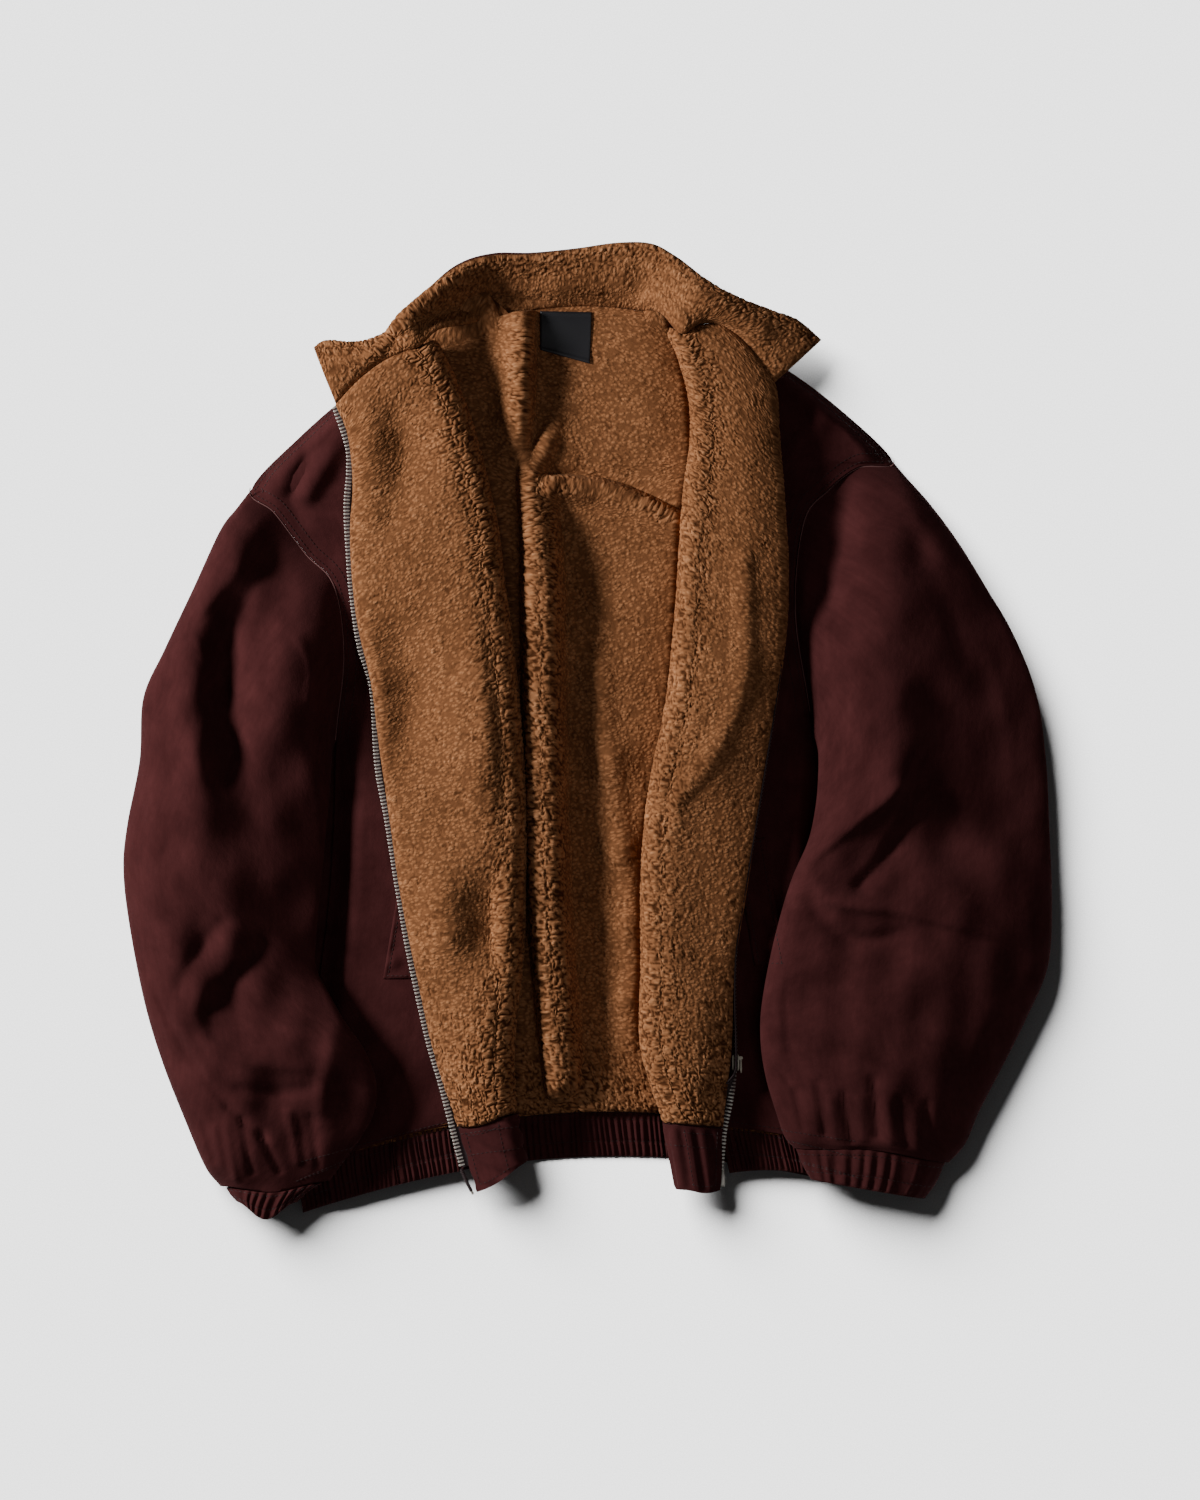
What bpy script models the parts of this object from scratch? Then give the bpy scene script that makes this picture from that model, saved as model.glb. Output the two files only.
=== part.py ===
"""Blouson in dark red cotton canvas with a fleece lining, laid flat on its back.

Both fronts are folded outwards, so their fleece side faces up and the zip lies at the outer
edge of each. Metres, +Z up, the floor at z = 0, +Y towards the collar. "Left" and "right"
are the sides as seen from above.
"""

import math

import bmesh
import bpy
import numpy as np

GARMENT = "fleece_jacket"

# Cloth and seams
CANVAS = 0.0020  # thickness of the outer cloth
FLEECE = 0.0060  # thickness of the lining, pile included
SEAM = 0.0004  # gap between two pieces at a seam
LAYER = 0.0003  # gap between two layers that lie on each other

# Heights of the layers above the floor
BACK_FLEECE_LOW = CANVAS + LAYER
BACK_FLEECE_TOP = BACK_FLEECE_LOW + FLEECE
SIDE_HEIGHT = 0.00225  # boundary of canvas and lining of a front, at its side seam
LAID_HEIGHT = 0.0155  # the same boundary where the front lies on the back
ROLL_RADIUS = 0.01025  # of that boundary round the fold of a front
FOLD_INSET = 0.0063  # from that boundary to the outer face of the lining at the fold
CREST_HEIGHT = LAID_HEIGHT + 2 * ROLL_RADIUS
SIDE_RAMP = 0.026  # width over which a front rises from its side seam
LINING_INSET = 0.025  # the back's lining stops this far inside the side seams

# Rows of a front, top to bottom. Row 3 is the shoulder point, row 8 the underarm, row 13
# the seam of the hem band and row 14 the band's lower edge.
SHOULDER_ROW, UNDERARM_ROW, HEM_ROW, END_ROW = 3, 8, 13, 14
# side_x, side_y, fold_x, fold_y, zip_x, zip_y, bow of the laid part, bow of the turned part
FRONT_ROWS = {
    "left": [
        (-0.148, 0.300, -0.120, 0.313, -0.201, 0.260, 0.000, 0.009),
        (-0.188, 0.271, -0.110, 0.294, -0.192, 0.239, 0.000, 0.007),
        (-0.230, 0.235, -0.095, 0.259, -0.188, 0.215, 0.000, 0.004),
        (-0.269, 0.193, -0.085, 0.226, -0.187, 0.190, 0.000, 0.002),
        (-0.250, 0.174, -0.078, 0.199, -0.189, 0.163, 0.000, 0.000),
        (-0.225, 0.141, -0.070, 0.163, -0.188, 0.126, 0.000, 0.000),
        (-0.202, 0.115, -0.066, 0.129, -0.183, 0.083, 0.000, 0.000),
        (-0.194, 0.059, -0.058, 0.071, -0.172, 0.035, 0.000, 0.000),
        (-0.201, -0.009, -0.052, 0.011, -0.166, -0.013, 0.000, 0.000),
        (-0.203, -0.073, -0.048, -0.057, -0.158, -0.069, 0.000, 0.000),
        (-0.207, -0.137, -0.048, -0.125, -0.149, -0.131, 0.000, 0.000),
        (-0.215, -0.205, -0.050, -0.191, -0.137, -0.191, 0.001, 0.000),
        (-0.223, -0.277, -0.057, -0.254, -0.122, -0.257, 0.003, -0.001),
        (-0.231, -0.354, -0.055, -0.306, -0.102, -0.318, 0.008, -0.003),
        (-0.228, -0.388, -0.048, -0.346, -0.087, -0.370, 0.005, -0.002),
    ],
    "right": [
        (0.113, 0.314, 0.062, 0.322, 0.147, 0.274, 0.000, 0.026),
        (0.158, 0.290, 0.071, 0.302, 0.151, 0.259, 0.000, 0.018),
        (0.205, 0.255, 0.079, 0.275, 0.152, 0.235, 0.000, 0.010),
        (0.245, 0.215, 0.082, 0.251, 0.154, 0.211, 0.000, 0.004),
        (0.217, 0.210, 0.081, 0.227, 0.156, 0.190, 0.000, 0.002),
        (0.193, 0.192, 0.077, 0.199, 0.158, 0.163, 0.000, 0.000),
        (0.173, 0.166, 0.074, 0.167, 0.160, 0.131, 0.000, 0.000),
        (0.166, 0.094, 0.070, 0.103, 0.159, 0.079, 0.000, 0.000),
        (0.178, 0.014, 0.062, 0.023, 0.151, 0.019, 0.000, 0.000),
        (0.186, -0.057, 0.048, -0.049, 0.139, -0.049, 0.000, 0.000),
        (0.194, -0.125, 0.042, -0.117, 0.129, -0.119, 0.000, 0.000),
        (0.202, -0.193, 0.042, -0.185, 0.118, -0.189, 0.000, 0.000),
        (0.210, -0.261, 0.042, -0.253, 0.115, -0.257, 0.002, 0.000),
        (0.217, -0.337, 0.060, -0.314, 0.108, -0.318, 0.006, 0.000),
        (0.220, -0.369, 0.071, -0.368, 0.105, -0.369, 0.015, -0.002),
    ],
}
ZIP_EDGE_HEIGHT = {"left": 0.0245, "right": 0.0270}
CREST_SHAPE = {"left": 1.8, "right": 2.6}  # power of the fall from the crest to the zip
# How far each row of the back bows up at its middle, same rows as the fronts
BACK_BOWS = (
    0.032, 0.027, 0.021, 0.013, 0.007, 0.003, 0.002, 0.000,
    0.000, 0.003, 0.008, 0.016, 0.026, 0.038, 0.035,
)

# Folds: from_x, from_y, to_x, to_y, width on its left or upper side, width on the other, height
BACK_FOLDS = [
    (-0.060, 0.315, -0.056, 0.225, 0.016, 0.006, 0.0070),
    (-0.056, 0.225, -0.058, 0.135, 0.014, 0.006, 0.0060),
    (-0.019, 0.243, -0.040, 0.219, 0.008, 0.008, 0.0040),
    (-0.040, 0.219, -0.045, 0.135, 0.005, 0.010, 0.0060),
    (-0.045, 0.135, -0.044, -0.017, 0.004, 0.011, 0.0060),
    (-0.044, -0.017, -0.040, -0.177, 0.004, 0.011, 0.0060),
    (-0.040, -0.177, -0.025, -0.281, 0.004, 0.011, 0.0060),
    (-0.034, 0.191, 0.000, 0.190, 0.005, 0.020, 0.0045),
    (0.000, 0.190, 0.024, 0.186, 0.005, 0.020, 0.0045),
    (0.024, 0.186, 0.066, 0.167, 0.005, 0.020, 0.0050),
    (0.013, -0.033, 0.028, -0.105, 0.007, 0.007, 0.0035),
    (0.028, -0.105, 0.039, -0.201, 0.007, 0.007, 0.0035),
    (0.045, 0.303, 0.056, 0.271, 0.010, 0.010, 0.0035),
    (0.056, 0.271, 0.058, 0.223, 0.010, 0.010, 0.0035),
]
SHOULDER_FOLDS = {
    "left": [(-0.197, 0.234, -0.223, 0.190, 0.008, 0.008, 0.0050)],
    "right": [(0.165, 0.225, 0.190, 0.250, 0.010, 0.010, 0.0030)],
}
SLEEVE_FOLDS = {
    "left": [
        (-0.306, 0.190, -0.330, 0.060, 0.020, 0.016, 0.0040),
        (-0.262, 0.150, -0.300, -0.020, 0.016, 0.014, -0.0110),
        (-0.300, -0.020, -0.292, -0.100, 0.016, 0.014, -0.0090),
        (-0.235, 0.100, -0.255, -0.020, 0.016, 0.018, 0.0060),
        (-0.245, -0.060, -0.235, -0.150, 0.014, 0.014, -0.0080),
        (-0.304, -0.165, -0.320, -0.200, 0.012, 0.010, -0.0060),
        (-0.280, -0.160, -0.300, -0.225, 0.009, 0.012, 0.0040),
        (-0.262, -0.175, -0.300, -0.235, 0.008, 0.012, -0.0080),
        (-0.295, -0.262, -0.235, -0.280, 0.008, 0.008, 0.0040),
        (-0.262, -0.293, -0.228, -0.295, 0.008, 0.008, -0.0050),
        (-0.206, -0.250, -0.200, -0.300, 0.010, 0.010, 0.0050),
    ],
    "right": [
        (0.200, 0.160, 0.183, 0.090, 0.014, 0.016, -0.0100),
        (0.216, 0.170, 0.180, 0.070, 0.010, 0.010, 0.0040),
        (0.205, -0.073, 0.247, -0.049, 0.010, 0.010, 0.0050),
        (0.275, -0.045, 0.340, -0.120, 0.024, 0.018, -0.0080),
        (0.176, -0.121, 0.258, -0.144, 0.010, 0.010, 0.0050),
        (0.182, -0.140, 0.235, -0.180, 0.012, 0.014, -0.0070),
        (0.270, -0.149, 0.363, -0.182, 0.008, 0.012, -0.0050),
        (0.156, -0.215, 0.160, -0.250, 0.008, 0.008, -0.0050),
        (0.188, -0.285, 0.190, -0.312, 0.006, 0.006, -0.0050),
        (0.230, -0.283, 0.232, -0.305, 0.007, 0.007, -0.0050),
        (0.252, -0.300, 0.256, -0.325, 0.006, 0.006, -0.0050),
        (0.322, -0.236, 0.314, -0.266, 0.008, 0.008, 0.0040),
    ],
}

# Sleeves: a row for each ring below the armhole: outer_x, outer_y, inner_x, inner_y, bow,
# height of the crown, height of the outer rim, height of the inner rim
SLEEVE_RINGS = {
    "left": [
        (-0.281, 0.177, -0.2042, -0.0170, 0.000, 0.032, 0.008, 0.006),
        (-0.294, 0.159, -0.205, -0.034, 0.000, 0.044, 0.014, 0.012),
        (-0.315, 0.113, -0.207, -0.062, 0.000, 0.052, 0.018, 0.018),
        (-0.338, 0.064, -0.210, -0.094, 0.000, 0.055, 0.020, 0.022),
        (-0.355, 0.025, -0.213, -0.127, 0.000, 0.056, 0.022, 0.024),
        (-0.358, -0.025, -0.216, -0.159, 0.000, 0.057, 0.022, 0.025),
        (-0.368, -0.077, -0.217, -0.189, 0.000, 0.058, 0.022, 0.026),
        (-0.371, -0.113, -0.207, -0.210, 0.000, 0.058, 0.022, 0.028),
        (-0.366, -0.158, -0.194, -0.233, 0.000, 0.058, 0.022, 0.030),
        (-0.354, -0.219, -0.177, -0.258, 0.000, 0.058, 0.022, 0.031),
        (-0.340, -0.266, -0.168, -0.286, 0.000, 0.057, 0.021, 0.031),
        (-0.323, -0.310, -0.172, -0.311, 0.000, 0.054, 0.019, 0.030),
        (-0.306, -0.350, -0.188, -0.337, 0.000, 0.047, 0.016, 0.029),
        (-0.294, -0.366, -0.206, -0.361, -0.006, 0.037, 0.013, 0.027),
    ],
    "right": [
        (0.255, 0.203, 0.181, 0.006, 0.000, 0.030, 0.008, 0.006),
        (0.275, 0.180, 0.182, -0.005, 0.000, 0.042, 0.014, 0.012),
        (0.297, 0.150, 0.185, -0.018, 0.000, 0.050, 0.018, 0.018),
        (0.319, 0.114, 0.185, -0.037, 0.000, 0.054, 0.020, 0.022),
        (0.341, 0.076, 0.183, -0.061, 0.000, 0.056, 0.022, 0.025),
        (0.359, 0.030, 0.177, -0.089, 0.000, 0.058, 0.022, 0.028),
        (0.367, -0.022, 0.164, -0.119, 0.000, 0.059, 0.022, 0.030),
        (0.370, -0.082, 0.154, -0.151, 0.000, 0.060, 0.022, 0.031),
        (0.372, -0.137, 0.145, -0.189, 0.000, 0.060, 0.022, 0.031),
        (0.369, -0.189, 0.139, -0.226, 0.000, 0.059, 0.021, 0.031),
        (0.351, -0.233, 0.139, -0.254, 0.000, 0.058, 0.020, 0.031),
        (0.331, -0.273, 0.143, -0.279, 0.000, 0.056, 0.019, 0.031),
        (0.314, -0.306, 0.150, -0.303, 0.000, 0.052, 0.017, 0.030),
        (0.303, -0.332, 0.158, -0.326, 0.000, 0.047, 0.015, 0.029),
        (0.290, -0.347, 0.166, -0.335, 0.005, 0.042, 0.013, 0.028),
    ],
}
ARMHOLE_CURVE_KEPT = (1.0, 0.75, 0.40, 0.12)  # share of the armhole's curve in the first rings
# Cuffs, the same columns, three rings each
CUFF_RINGS = {
    "left": [
        (-0.289, -0.3675, -0.212, -0.3631, -0.0050, 0.035, 0.012, 0.026),
        (-0.286, -0.3730, -0.223, -0.3700, -0.010, 0.034, 0.011, 0.025),
        (-0.281, -0.3785, -0.232, -0.3785, -0.0135, 0.032, 0.010, 0.022),
    ],
    "right": [
        (0.287, -0.3471, 0.167, -0.3355, 0.005, 0.040, 0.012, 0.027),
        (0.280, -0.363, 0.173, -0.350, 0.003, 0.041, 0.012, 0.027),
        (0.271, -0.376, 0.179, -0.360, 0.000, 0.040, 0.011, 0.027),
    ],
}
RIM = 0.0022  # half the upright height of a sleeve's edge
ARMHOLE_CROWN = LAID_HEIGHT + CANVAS + LAYER / 2
BODY_CLEARANCE = 0.0210  # lowest height of a sleeve where it lies on the body
LIFT_REACH = 0.022  # a sleeve starts to lift this far outside the side seam
HALF_STEPS = 10  # steps across the upper half of a sleeve

# Collar: panel whose neck edge it is sewn to, place along that edge, distance out from it,
# lift above it, edge_x, edge_y, edge_z, sag of the middle
COLLAR_ROWS = [
    ("left", 1.0, 0.0004, 0.000, -0.218, 0.305, 0.024, 0.000),
    ("left", 0.8, 0.0004, 0.000, -0.209, 0.310, 0.026, 0.000),
    ("left", 0.6, 0.0004, 0.000, -0.191, 0.308, 0.028, 0.000),
    ("left", 0.4, 0.0004, 0.000, -0.176, 0.309, 0.030, 0.000),
    ("left", 0.2, 0.0004, 0.000, -0.160, 0.317, 0.032, -0.001),
    ("left", 0.0, 0.0012, 0.001, -0.146, 0.334, 0.034, -0.002),
    ("back", 0.12, 0.0045, 0.027, -0.126, 0.353, 0.035, -0.004),
    ("back", 0.20, 0.0010, 0.012, -0.102, 0.371, 0.034, -0.007),
    ("back", 0.29, 0.0004, 0.001, -0.075, 0.379, 0.031, -0.008),
    ("back", 0.42, 0.0004, 0.000, -0.045, 0.380, 0.028, -0.004),
    ("back", 0.54, 0.0004, 0.000, -0.010, 0.384, 0.026, -0.001),
    ("back", 0.65, 0.0004, 0.001, 0.025, 0.389, 0.026, 0.000),
    ("back", 0.73, 0.0006, 0.005, 0.052, 0.388, 0.028, 0.000),
    ("back", 0.79, 0.0010, 0.018, 0.072, 0.377, 0.031, 0.000),
    ("right", 0.0, 0.0022, 0.001, 0.093, 0.360, 0.034, 0.000),
    ("right", 0.2, 0.0008, 0.000, 0.112, 0.348, 0.034, 0.001),
    ("right", 0.4, 0.0004, 0.000, 0.131, 0.339, 0.032, 0.001),
    ("right", 0.6, 0.0004, 0.000, 0.150, 0.332, 0.029, 0.001),
    ("right", 0.8, 0.0004, 0.000, 0.169, 0.326, 0.026, 0.000),
    ("right", 1.0, 0.0004, 0.000, 0.187, 0.311, 0.022, 0.000),
]
COLLAR_STEPS = 4

# Hem band and cuffs: plain wall with gathers standing on it
BAND_WALL = 0.0022
GATHER_HEIGHT = 0.0028
BAND_SIDE_LOW = BAND_WALL + GATHER_HEIGHT + SEAM  # a front band just clears the back one
BAND_LAID_LOW = 0.0122
BAND_RAMP = 0.040
GATHERS = {"back": 93, "left": 33, "right": 28, "cuff": 20}
CUFF_GATHER = 0.0016
CUFF_WALL = 0.0019
HEM_SEAM = 0.014  # gap at the band's upper edge, in rows
BAND_SHARE = 0.75  # of a front's laid width; the plain end takes the rest

# Zip
CHAIN_RADIUS = 0.0015
CHAIN_HEIGHT = 0.0216
CHAIN_ROUTE = {  # the teeth's middle line in plan
    "left": [
        (-0.2030, 0.2580), (-0.1925, 0.2260), (-0.1915, 0.2050), (-0.1935, 0.1780),
        (-0.1920, 0.1450), (-0.1895, 0.1110), (-0.1830, 0.0660), (-0.1730, 0.0320),
        (-0.1690, -0.0280), (-0.1610, -0.0730), (-0.1535, -0.1210), (-0.1455, -0.1690),
        (-0.1390, -0.2010), (-0.1280, -0.2500), (-0.1175, -0.2860), (-0.1064, -0.3300),
        (-0.1008, -0.3512),
    ],
    "right": [
        (0.1480, 0.2680), (0.1505, 0.2380), (0.1540, 0.2040), (0.1580, 0.1590),
        (0.1590, 0.1110), (0.1565, 0.0630), (0.1505, 0.0190), (0.1390, -0.0530),
        (0.1290, -0.1130), (0.1195, -0.1730), (0.1180, -0.2170), (0.1190, -0.2530),
        (0.1190, -0.2700), (0.1175, -0.2850), (0.1150, -0.3020), (0.1110, -0.3210),
        (0.1088, -0.3450), (0.1080, -0.3530),
    ],
}
# Section of a tape: distance inwards from the teeth's middle, height of its lower face
TAPE_SECTION = {
    "left": ((0.0018, 0.02147), (0.0040, 0.02147), (0.0115, 0.02147)),
    "right": ((-0.0002, 0.02350), (0.0012, 0.02397), (0.0115, 0.02397)),
}
TAPE_THICKNESS = 0.00055
PIN_ROUTE = [(-0.1007, -0.3519), (-0.0965, -0.3620), (-0.0925, -0.3700)]
PIN_RADIUS = 0.0012
BOX_SIZE = (0.0052, 0.0130, 0.0040)
BOX_AT = (0.1080, -0.3599)
SLIDER_AT = (0.1190, -0.2670)
SLIDER_LENGTH = 0.0125
SLIDER_BASE = -0.0029  # its lower face, below the teeth's middle
SLIDER_TOPS = {"inner": 0.0019, "outer": 0.0032}  # tops of its two plates
SLIDER_HALF_WIDTH = 0.0028
CHANNEL_HALF_WIDTH = 0.00185
CHANNEL_FLOOR = -0.0019
HINGE_OUT = 0.0015  # hinge axis of the pull, outside the slider's outer plate
HINGE_BACK = 0.0038  # and this far above the slider's middle
LUG_THICKNESS = 0.0010
LUG_REACH = 0.0026
PULL_BARREL = 0.0011
PULL_LENGTH = 0.0120
PULL_THICKNESS = 0.0013
PULL_HEIGHT = 0.0034

# Label and pockets
LABEL_CORNERS = ((-0.0376, 0.3352), (0.0040, 0.3344), (0.0024, 0.2928), (-0.0376, 0.3040))
LABEL_THICKNESS = 0.0010
WELT_THICKNESS = 0.0015
# outer edge top, outer edge bottom, width towards the zip
WELTS = {
    "left": ((-0.1500, -0.1210), (-0.1635, -0.2000), 0.0240),
    "right": ((0.1424, -0.0870), (0.1600, -0.1900), -0.0260),
}

# name: red, green, blue, roughness, metallic
FINISHES = {
    "canvas": (0.110, 0.035, 0.040, 0.90, 0.0),
    "fleece": (0.480, 0.310, 0.170, 0.97, 0.0),
    "tape": (0.035, 0.015, 0.020, 0.85, 0.0),
    "zip_metal": (0.620, 0.610, 0.590, 0.35, 1.0),
    "label_cloth": (0.012, 0.014, 0.020, 0.60, 0.0),
}


# ---------------------------------------------------------------- scene and meshes
def clear_scene():
    for thing in list(bpy.data.objects):
        bpy.data.objects.remove(thing, do_unlink=True)


def finish(name):
    """The Principled material of this finish, made once."""
    if name in bpy.data.materials:
        return bpy.data.materials[name]
    red, green, blue, roughness, metallic = FINISHES[name]
    material = bpy.data.materials.new(name)
    material.use_nodes = True
    shader = material.node_tree.nodes["Principled BSDF"]
    shader.inputs["Base Color"].default_value = (red, green, blue, 1.0)
    shader.inputs["Roughness"].default_value = roughness
    shader.inputs["Metallic"].default_value = metallic
    return material


def garment_collection():
    if GARMENT not in bpy.data.collections:
        made = bpy.data.collections.new(GARMENT)
        bpy.context.scene.collection.children.link(made)
    return bpy.data.collections[GARMENT]


def add_object(name, mesh, finish_name, smooth=True):
    thing = bpy.data.objects.new(name, mesh)
    mesh.materials.clear()
    mesh.materials.append(finish(finish_name))
    if smooth:
        mesh.shade_smooth()
        mesh.set_sharp_from_angle(angle=math.radians(50))
    garment_collection().objects.link(thing)
    return thing


def wall(name, upper, lower, finish_name, tube=False):
    """One closed solid between two skins, each a grid of points [row, column]."""
    rows, columns = upper.shape[:2]
    shape = bmesh.new()
    skins = [[[shape.verts.new(p) for p in row] for row in skin] for skin in (upper, lower)]
    top, under = skins
    across = columns if tube else columns - 1
    for r in range(rows - 1):
        for c in range(across):
            d = (c + 1) % columns
            shape.faces.new((top[r][c], top[r][d], top[r + 1][d], top[r + 1][c]))
            shape.faces.new((under[r][c], under[r + 1][c], under[r + 1][d], under[r][d]))
    for r in (0, rows - 1):
        for c in range(across):
            d = (c + 1) % columns
            shape.faces.new((top[r][c], under[r][c], under[r][d], top[r][d]))
    if not tube:
        for c in (0, columns - 1):
            for r in range(rows - 1):
                shape.faces.new((top[r][c], top[r + 1][c], under[r + 1][c], under[r][c]))
    bmesh.ops.recalc_face_normals(shape, faces=shape.faces)
    mesh = bpy.data.meshes.new(name)
    shape.to_mesh(mesh)
    shape.free()
    return add_object(name, mesh, finish_name)


# ---------------------------------------------------------------- curves and profiles
def smooth(x):
    x = np.clip(x, 0.0, 1.0)
    return x * x * (3 - 2 * x)


def track(rows, at):
    """A smooth curve through the rows of a table; `at` counts rows from 0."""
    rows = np.asarray(rows, float)
    at = np.clip(np.asarray(at, float), 0, len(rows) - 1)
    i = np.minimum(at.astype(int), len(rows) - 2)
    t = (at - i)[..., None]
    padded = np.vstack([2 * rows[0] - rows[1], rows, 2 * rows[-1] - rows[-2]])
    a, b, c, d = (padded[i + k] for k in range(4))
    cubic = (3 * b - a - 3 * c + d) * t**3
    return 0.5 * (2 * b + (c - a) * t + (2 * a - 5 * b + 4 * c - d) * t**2 + cubic)


def unit(v):
    return v / np.linalg.norm(v, axis=-1, keepdims=True)


def arch(s, power=3.0):
    """1 in the middle of 0..1 and 0 at both ends, with a broad crown."""
    return np.sqrt(np.maximum(0.0, 1 - np.abs(2 * s - 1) ** power))


def relief(x, y, folds):
    """Height of soft ridges and troughs at points in plan."""
    raised = np.zeros(np.broadcast(x, y).shape)
    sunk = raised.copy()
    for x0, y0, x1, y1, first_width, second_width, rise in folds:
        dx, dy = x1 - x0, y1 - y0
        length = math.hypot(dx, dy)
        along = ((x - x0) * dx + (y - y0) * dy) / length
        off = ((x - x0) * dy - (y - y0) * dx) / length
        first_side = -off if dx > abs(dy) else off
        width = np.where(first_side > 0, first_width, second_width)
        past = np.maximum(0.0, np.maximum(-along, along - length))
        past_width = 0.5 * (first_width + second_width)
        bump = rise * np.exp(-((off / width) ** 2) - (past / past_width) ** 2)
        raised = np.maximum(raised, bump)
        sunk = np.minimum(sunk, bump)
    return raised + sunk


# ---------------------------------------------------------------- rows of the pattern
ARMHOLE_AT = SHOULDER_ROW + (UNDERARM_ROW - SHOULDER_ROW) * 0.5 * (
    1 - np.cos(np.pi * np.arange(HALF_STEPS + 1) / HALF_STEPS)
)
FRONT_AT = np.concatenate([[0, 1, 2], ARMHOLE_AT, [9, 10, 11, 12, 13]])
BACK_LINING_AT = np.array(
    [0, 0.5, 1, 1.6, 2.2, 2.8, 3.3, 3.7, 4.1, 4.5, 5, 5.7, 6.6, 7.6, 8.8, 10, 11.2, 12.2, 13]
)


def row_points(side, at):
    """Side seam, fold and zip edge of a front at these rows, and the two bows."""
    row = track(FRONT_ROWS[side], at)
    return row[..., 0:2], row[..., 2:4], row[..., 4:6], row[..., 6], row[..., 7]


def armhole_share(at):
    return np.clip((np.asarray(at, float) - SHOULDER_ROW) / (UNDERARM_ROW - SHOULDER_ROW), 0, 1)


def front_surface(side, at, ramp, laid, roll, turned, inset=FOLD_INSET):
    """Boundary of canvas and lining of a front: one surface, out along the back and back again.

    ramp, laid, roll and turned are shares of those four stretches, side seam to zip.
    """
    seam, fold, zip_edge, laid_bow, turned_bow = row_points(side, np.asarray(at, float))
    inward = unit(fold - seam)
    outward = unit(fold - zip_edge)
    reach = np.linalg.norm(fold - seam, axis=-1)
    flat = reach - ROLL_RADIUS - inset
    ramp_width = np.minimum(SIDE_RAMP, 0.6 * flat)
    edge_height = SIDE_HEIGHT + (LAID_HEIGHT - SIDE_HEIGHT) * arch(armhole_share(at))
    up = np.array([0.0, 1.0])
    columns = []
    for share in list(ramp) + [1 + f for f in laid]:
        rising = min(share, 1.0)
        distance = ramp_width * rising + (flat - ramp_width) * max(share - 1.0, 0.0)
        height = edge_height + (LAID_HEIGHT - edge_height) * smooth(rising)
        s = distance / reach
        plan = seam + inward * distance[:, None] + up * (laid_bow * 4 * s * (1 - s))[:, None]
        height = height + relief(plan[:, 0], plan[:, 1], SHOULDER_FOLDS[side]) * smooth(rising)
        columns.append(np.column_stack([plan, height]))
    for share in roll:
        angle = math.pi * (share - 0.5)
        way = unit(inward * (1 - share) + outward * share)
        back = inset + ROLL_RADIUS * (1 - math.cos(angle))
        plan = fold - way * back
        height = np.full(len(plan), LAID_HEIGHT + ROLL_RADIUS * (1 + math.sin(angle)))
        columns.append(np.column_stack([plan, height]))
    start = fold - outward * (inset + ROLL_RADIUS)
    for share in turned:
        plan = start + (zip_edge - start) * share
        plan = plan + up * (turned_bow * 4 * share * (1 - share))[:, None]
        fall = share ** CREST_SHAPE[side]
        height = CREST_HEIGHT + (ZIP_EDGE_HEIGHT[side] - CREST_HEIGHT) * fall
        columns.append(np.column_stack([plan, np.full(len(plan), height)]))
    return np.stack(columns, axis=1)


def lining_way(side, surface):
    """Unit normals of a front, pointing to its lining side."""
    down = np.gradient(surface, axis=0)
    across = np.gradient(surface, axis=1)
    normals = np.cross(across, down) * (1 if side == "left" else -1)
    for r in (0, -1):
        along = np.gradient(surface[r, :, :2], axis=0)
        turning = np.linalg.norm(along, axis=1) < 0.002
        along[turning] = surface[r, -1, :2] - surface[r, turning, :2]
        along = unit(along)
        normals[r, :, :2] = along * np.sum(normals[r, :, :2] * along, axis=1)[:, None]
    normals[:, 0, :2] = 0.0
    return unit(normals)


def back_plan(at, s):
    """Plan points of the back: rows `at`, shares `s` from the left side seam to the right."""
    left = track(FRONT_ROWS["left"], at)[..., 0:2]
    right = track(FRONT_ROWS["right"], at)[..., 0:2]
    bow = track([(b,) for b in BACK_BOWS], at)[..., 0]
    plan = left + (right - left) * s[..., None]
    plan[..., 1] += bow * 4 * s * (1 - s)
    return plan


def body_lift(side, x, y):
    """How high a sleeve has to lie above the floor at a point in plan, for the body under it."""
    rows = np.linspace(UNDERARM_ROW, END_ROW, 40)
    seam = row_points(side, rows)[0]
    seam_x = np.interp(-y, -seam[:, 1], seam[:, 0])
    inside = (x - seam_x) * (1 if side == "left" else -1)
    return BODY_CLEARANCE * smooth((inside + LIFT_REACH) / (2 * LIFT_REACH))


# ---------------------------------------------------------------- the back
def make_back():
    at = FRONT_AT
    s = np.linspace(0, 1, 13)
    grid_at, grid_s = np.meshgrid(at, s, indexing="ij")
    plan = back_plan(grid_at, grid_s)
    under = np.dstack([plan, np.zeros(grid_at.shape)])
    over = np.dstack([plan, np.full(grid_at.shape, CANVAS)])
    wall("back_shell", over, under, "canvas")


def back_lining_grid(at):
    """Plan points of the back's lining, closest together where it shows between the fronts."""
    shares = []
    for row in at:
        left = track(FRONT_ROWS["left"], row)
        right = track(FRONT_ROWS["right"], row)
        span = right[0] - left[0]
        low = LINING_INSET / span
        fold_left = (left[2] - 0.012 - left[0]) / span
        fold_right = (right[2] + 0.012 - left[0]) / span
        first, last = max(fold_left, low + 0.02), min(fold_right, 0.98 - low)
        shown = np.linspace(first, last, 15)
        hidden = np.linspace(low, first, 4)[:3], np.linspace(last, 1 - low, 4)[1:]
        shares.append(np.concatenate([hidden[0], shown, hidden[1]]))
    shares = np.array(shares)
    grid_at = np.broadcast_to(at[:, None], shares.shape)
    return grid_at, back_plan(grid_at, shares)


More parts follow.
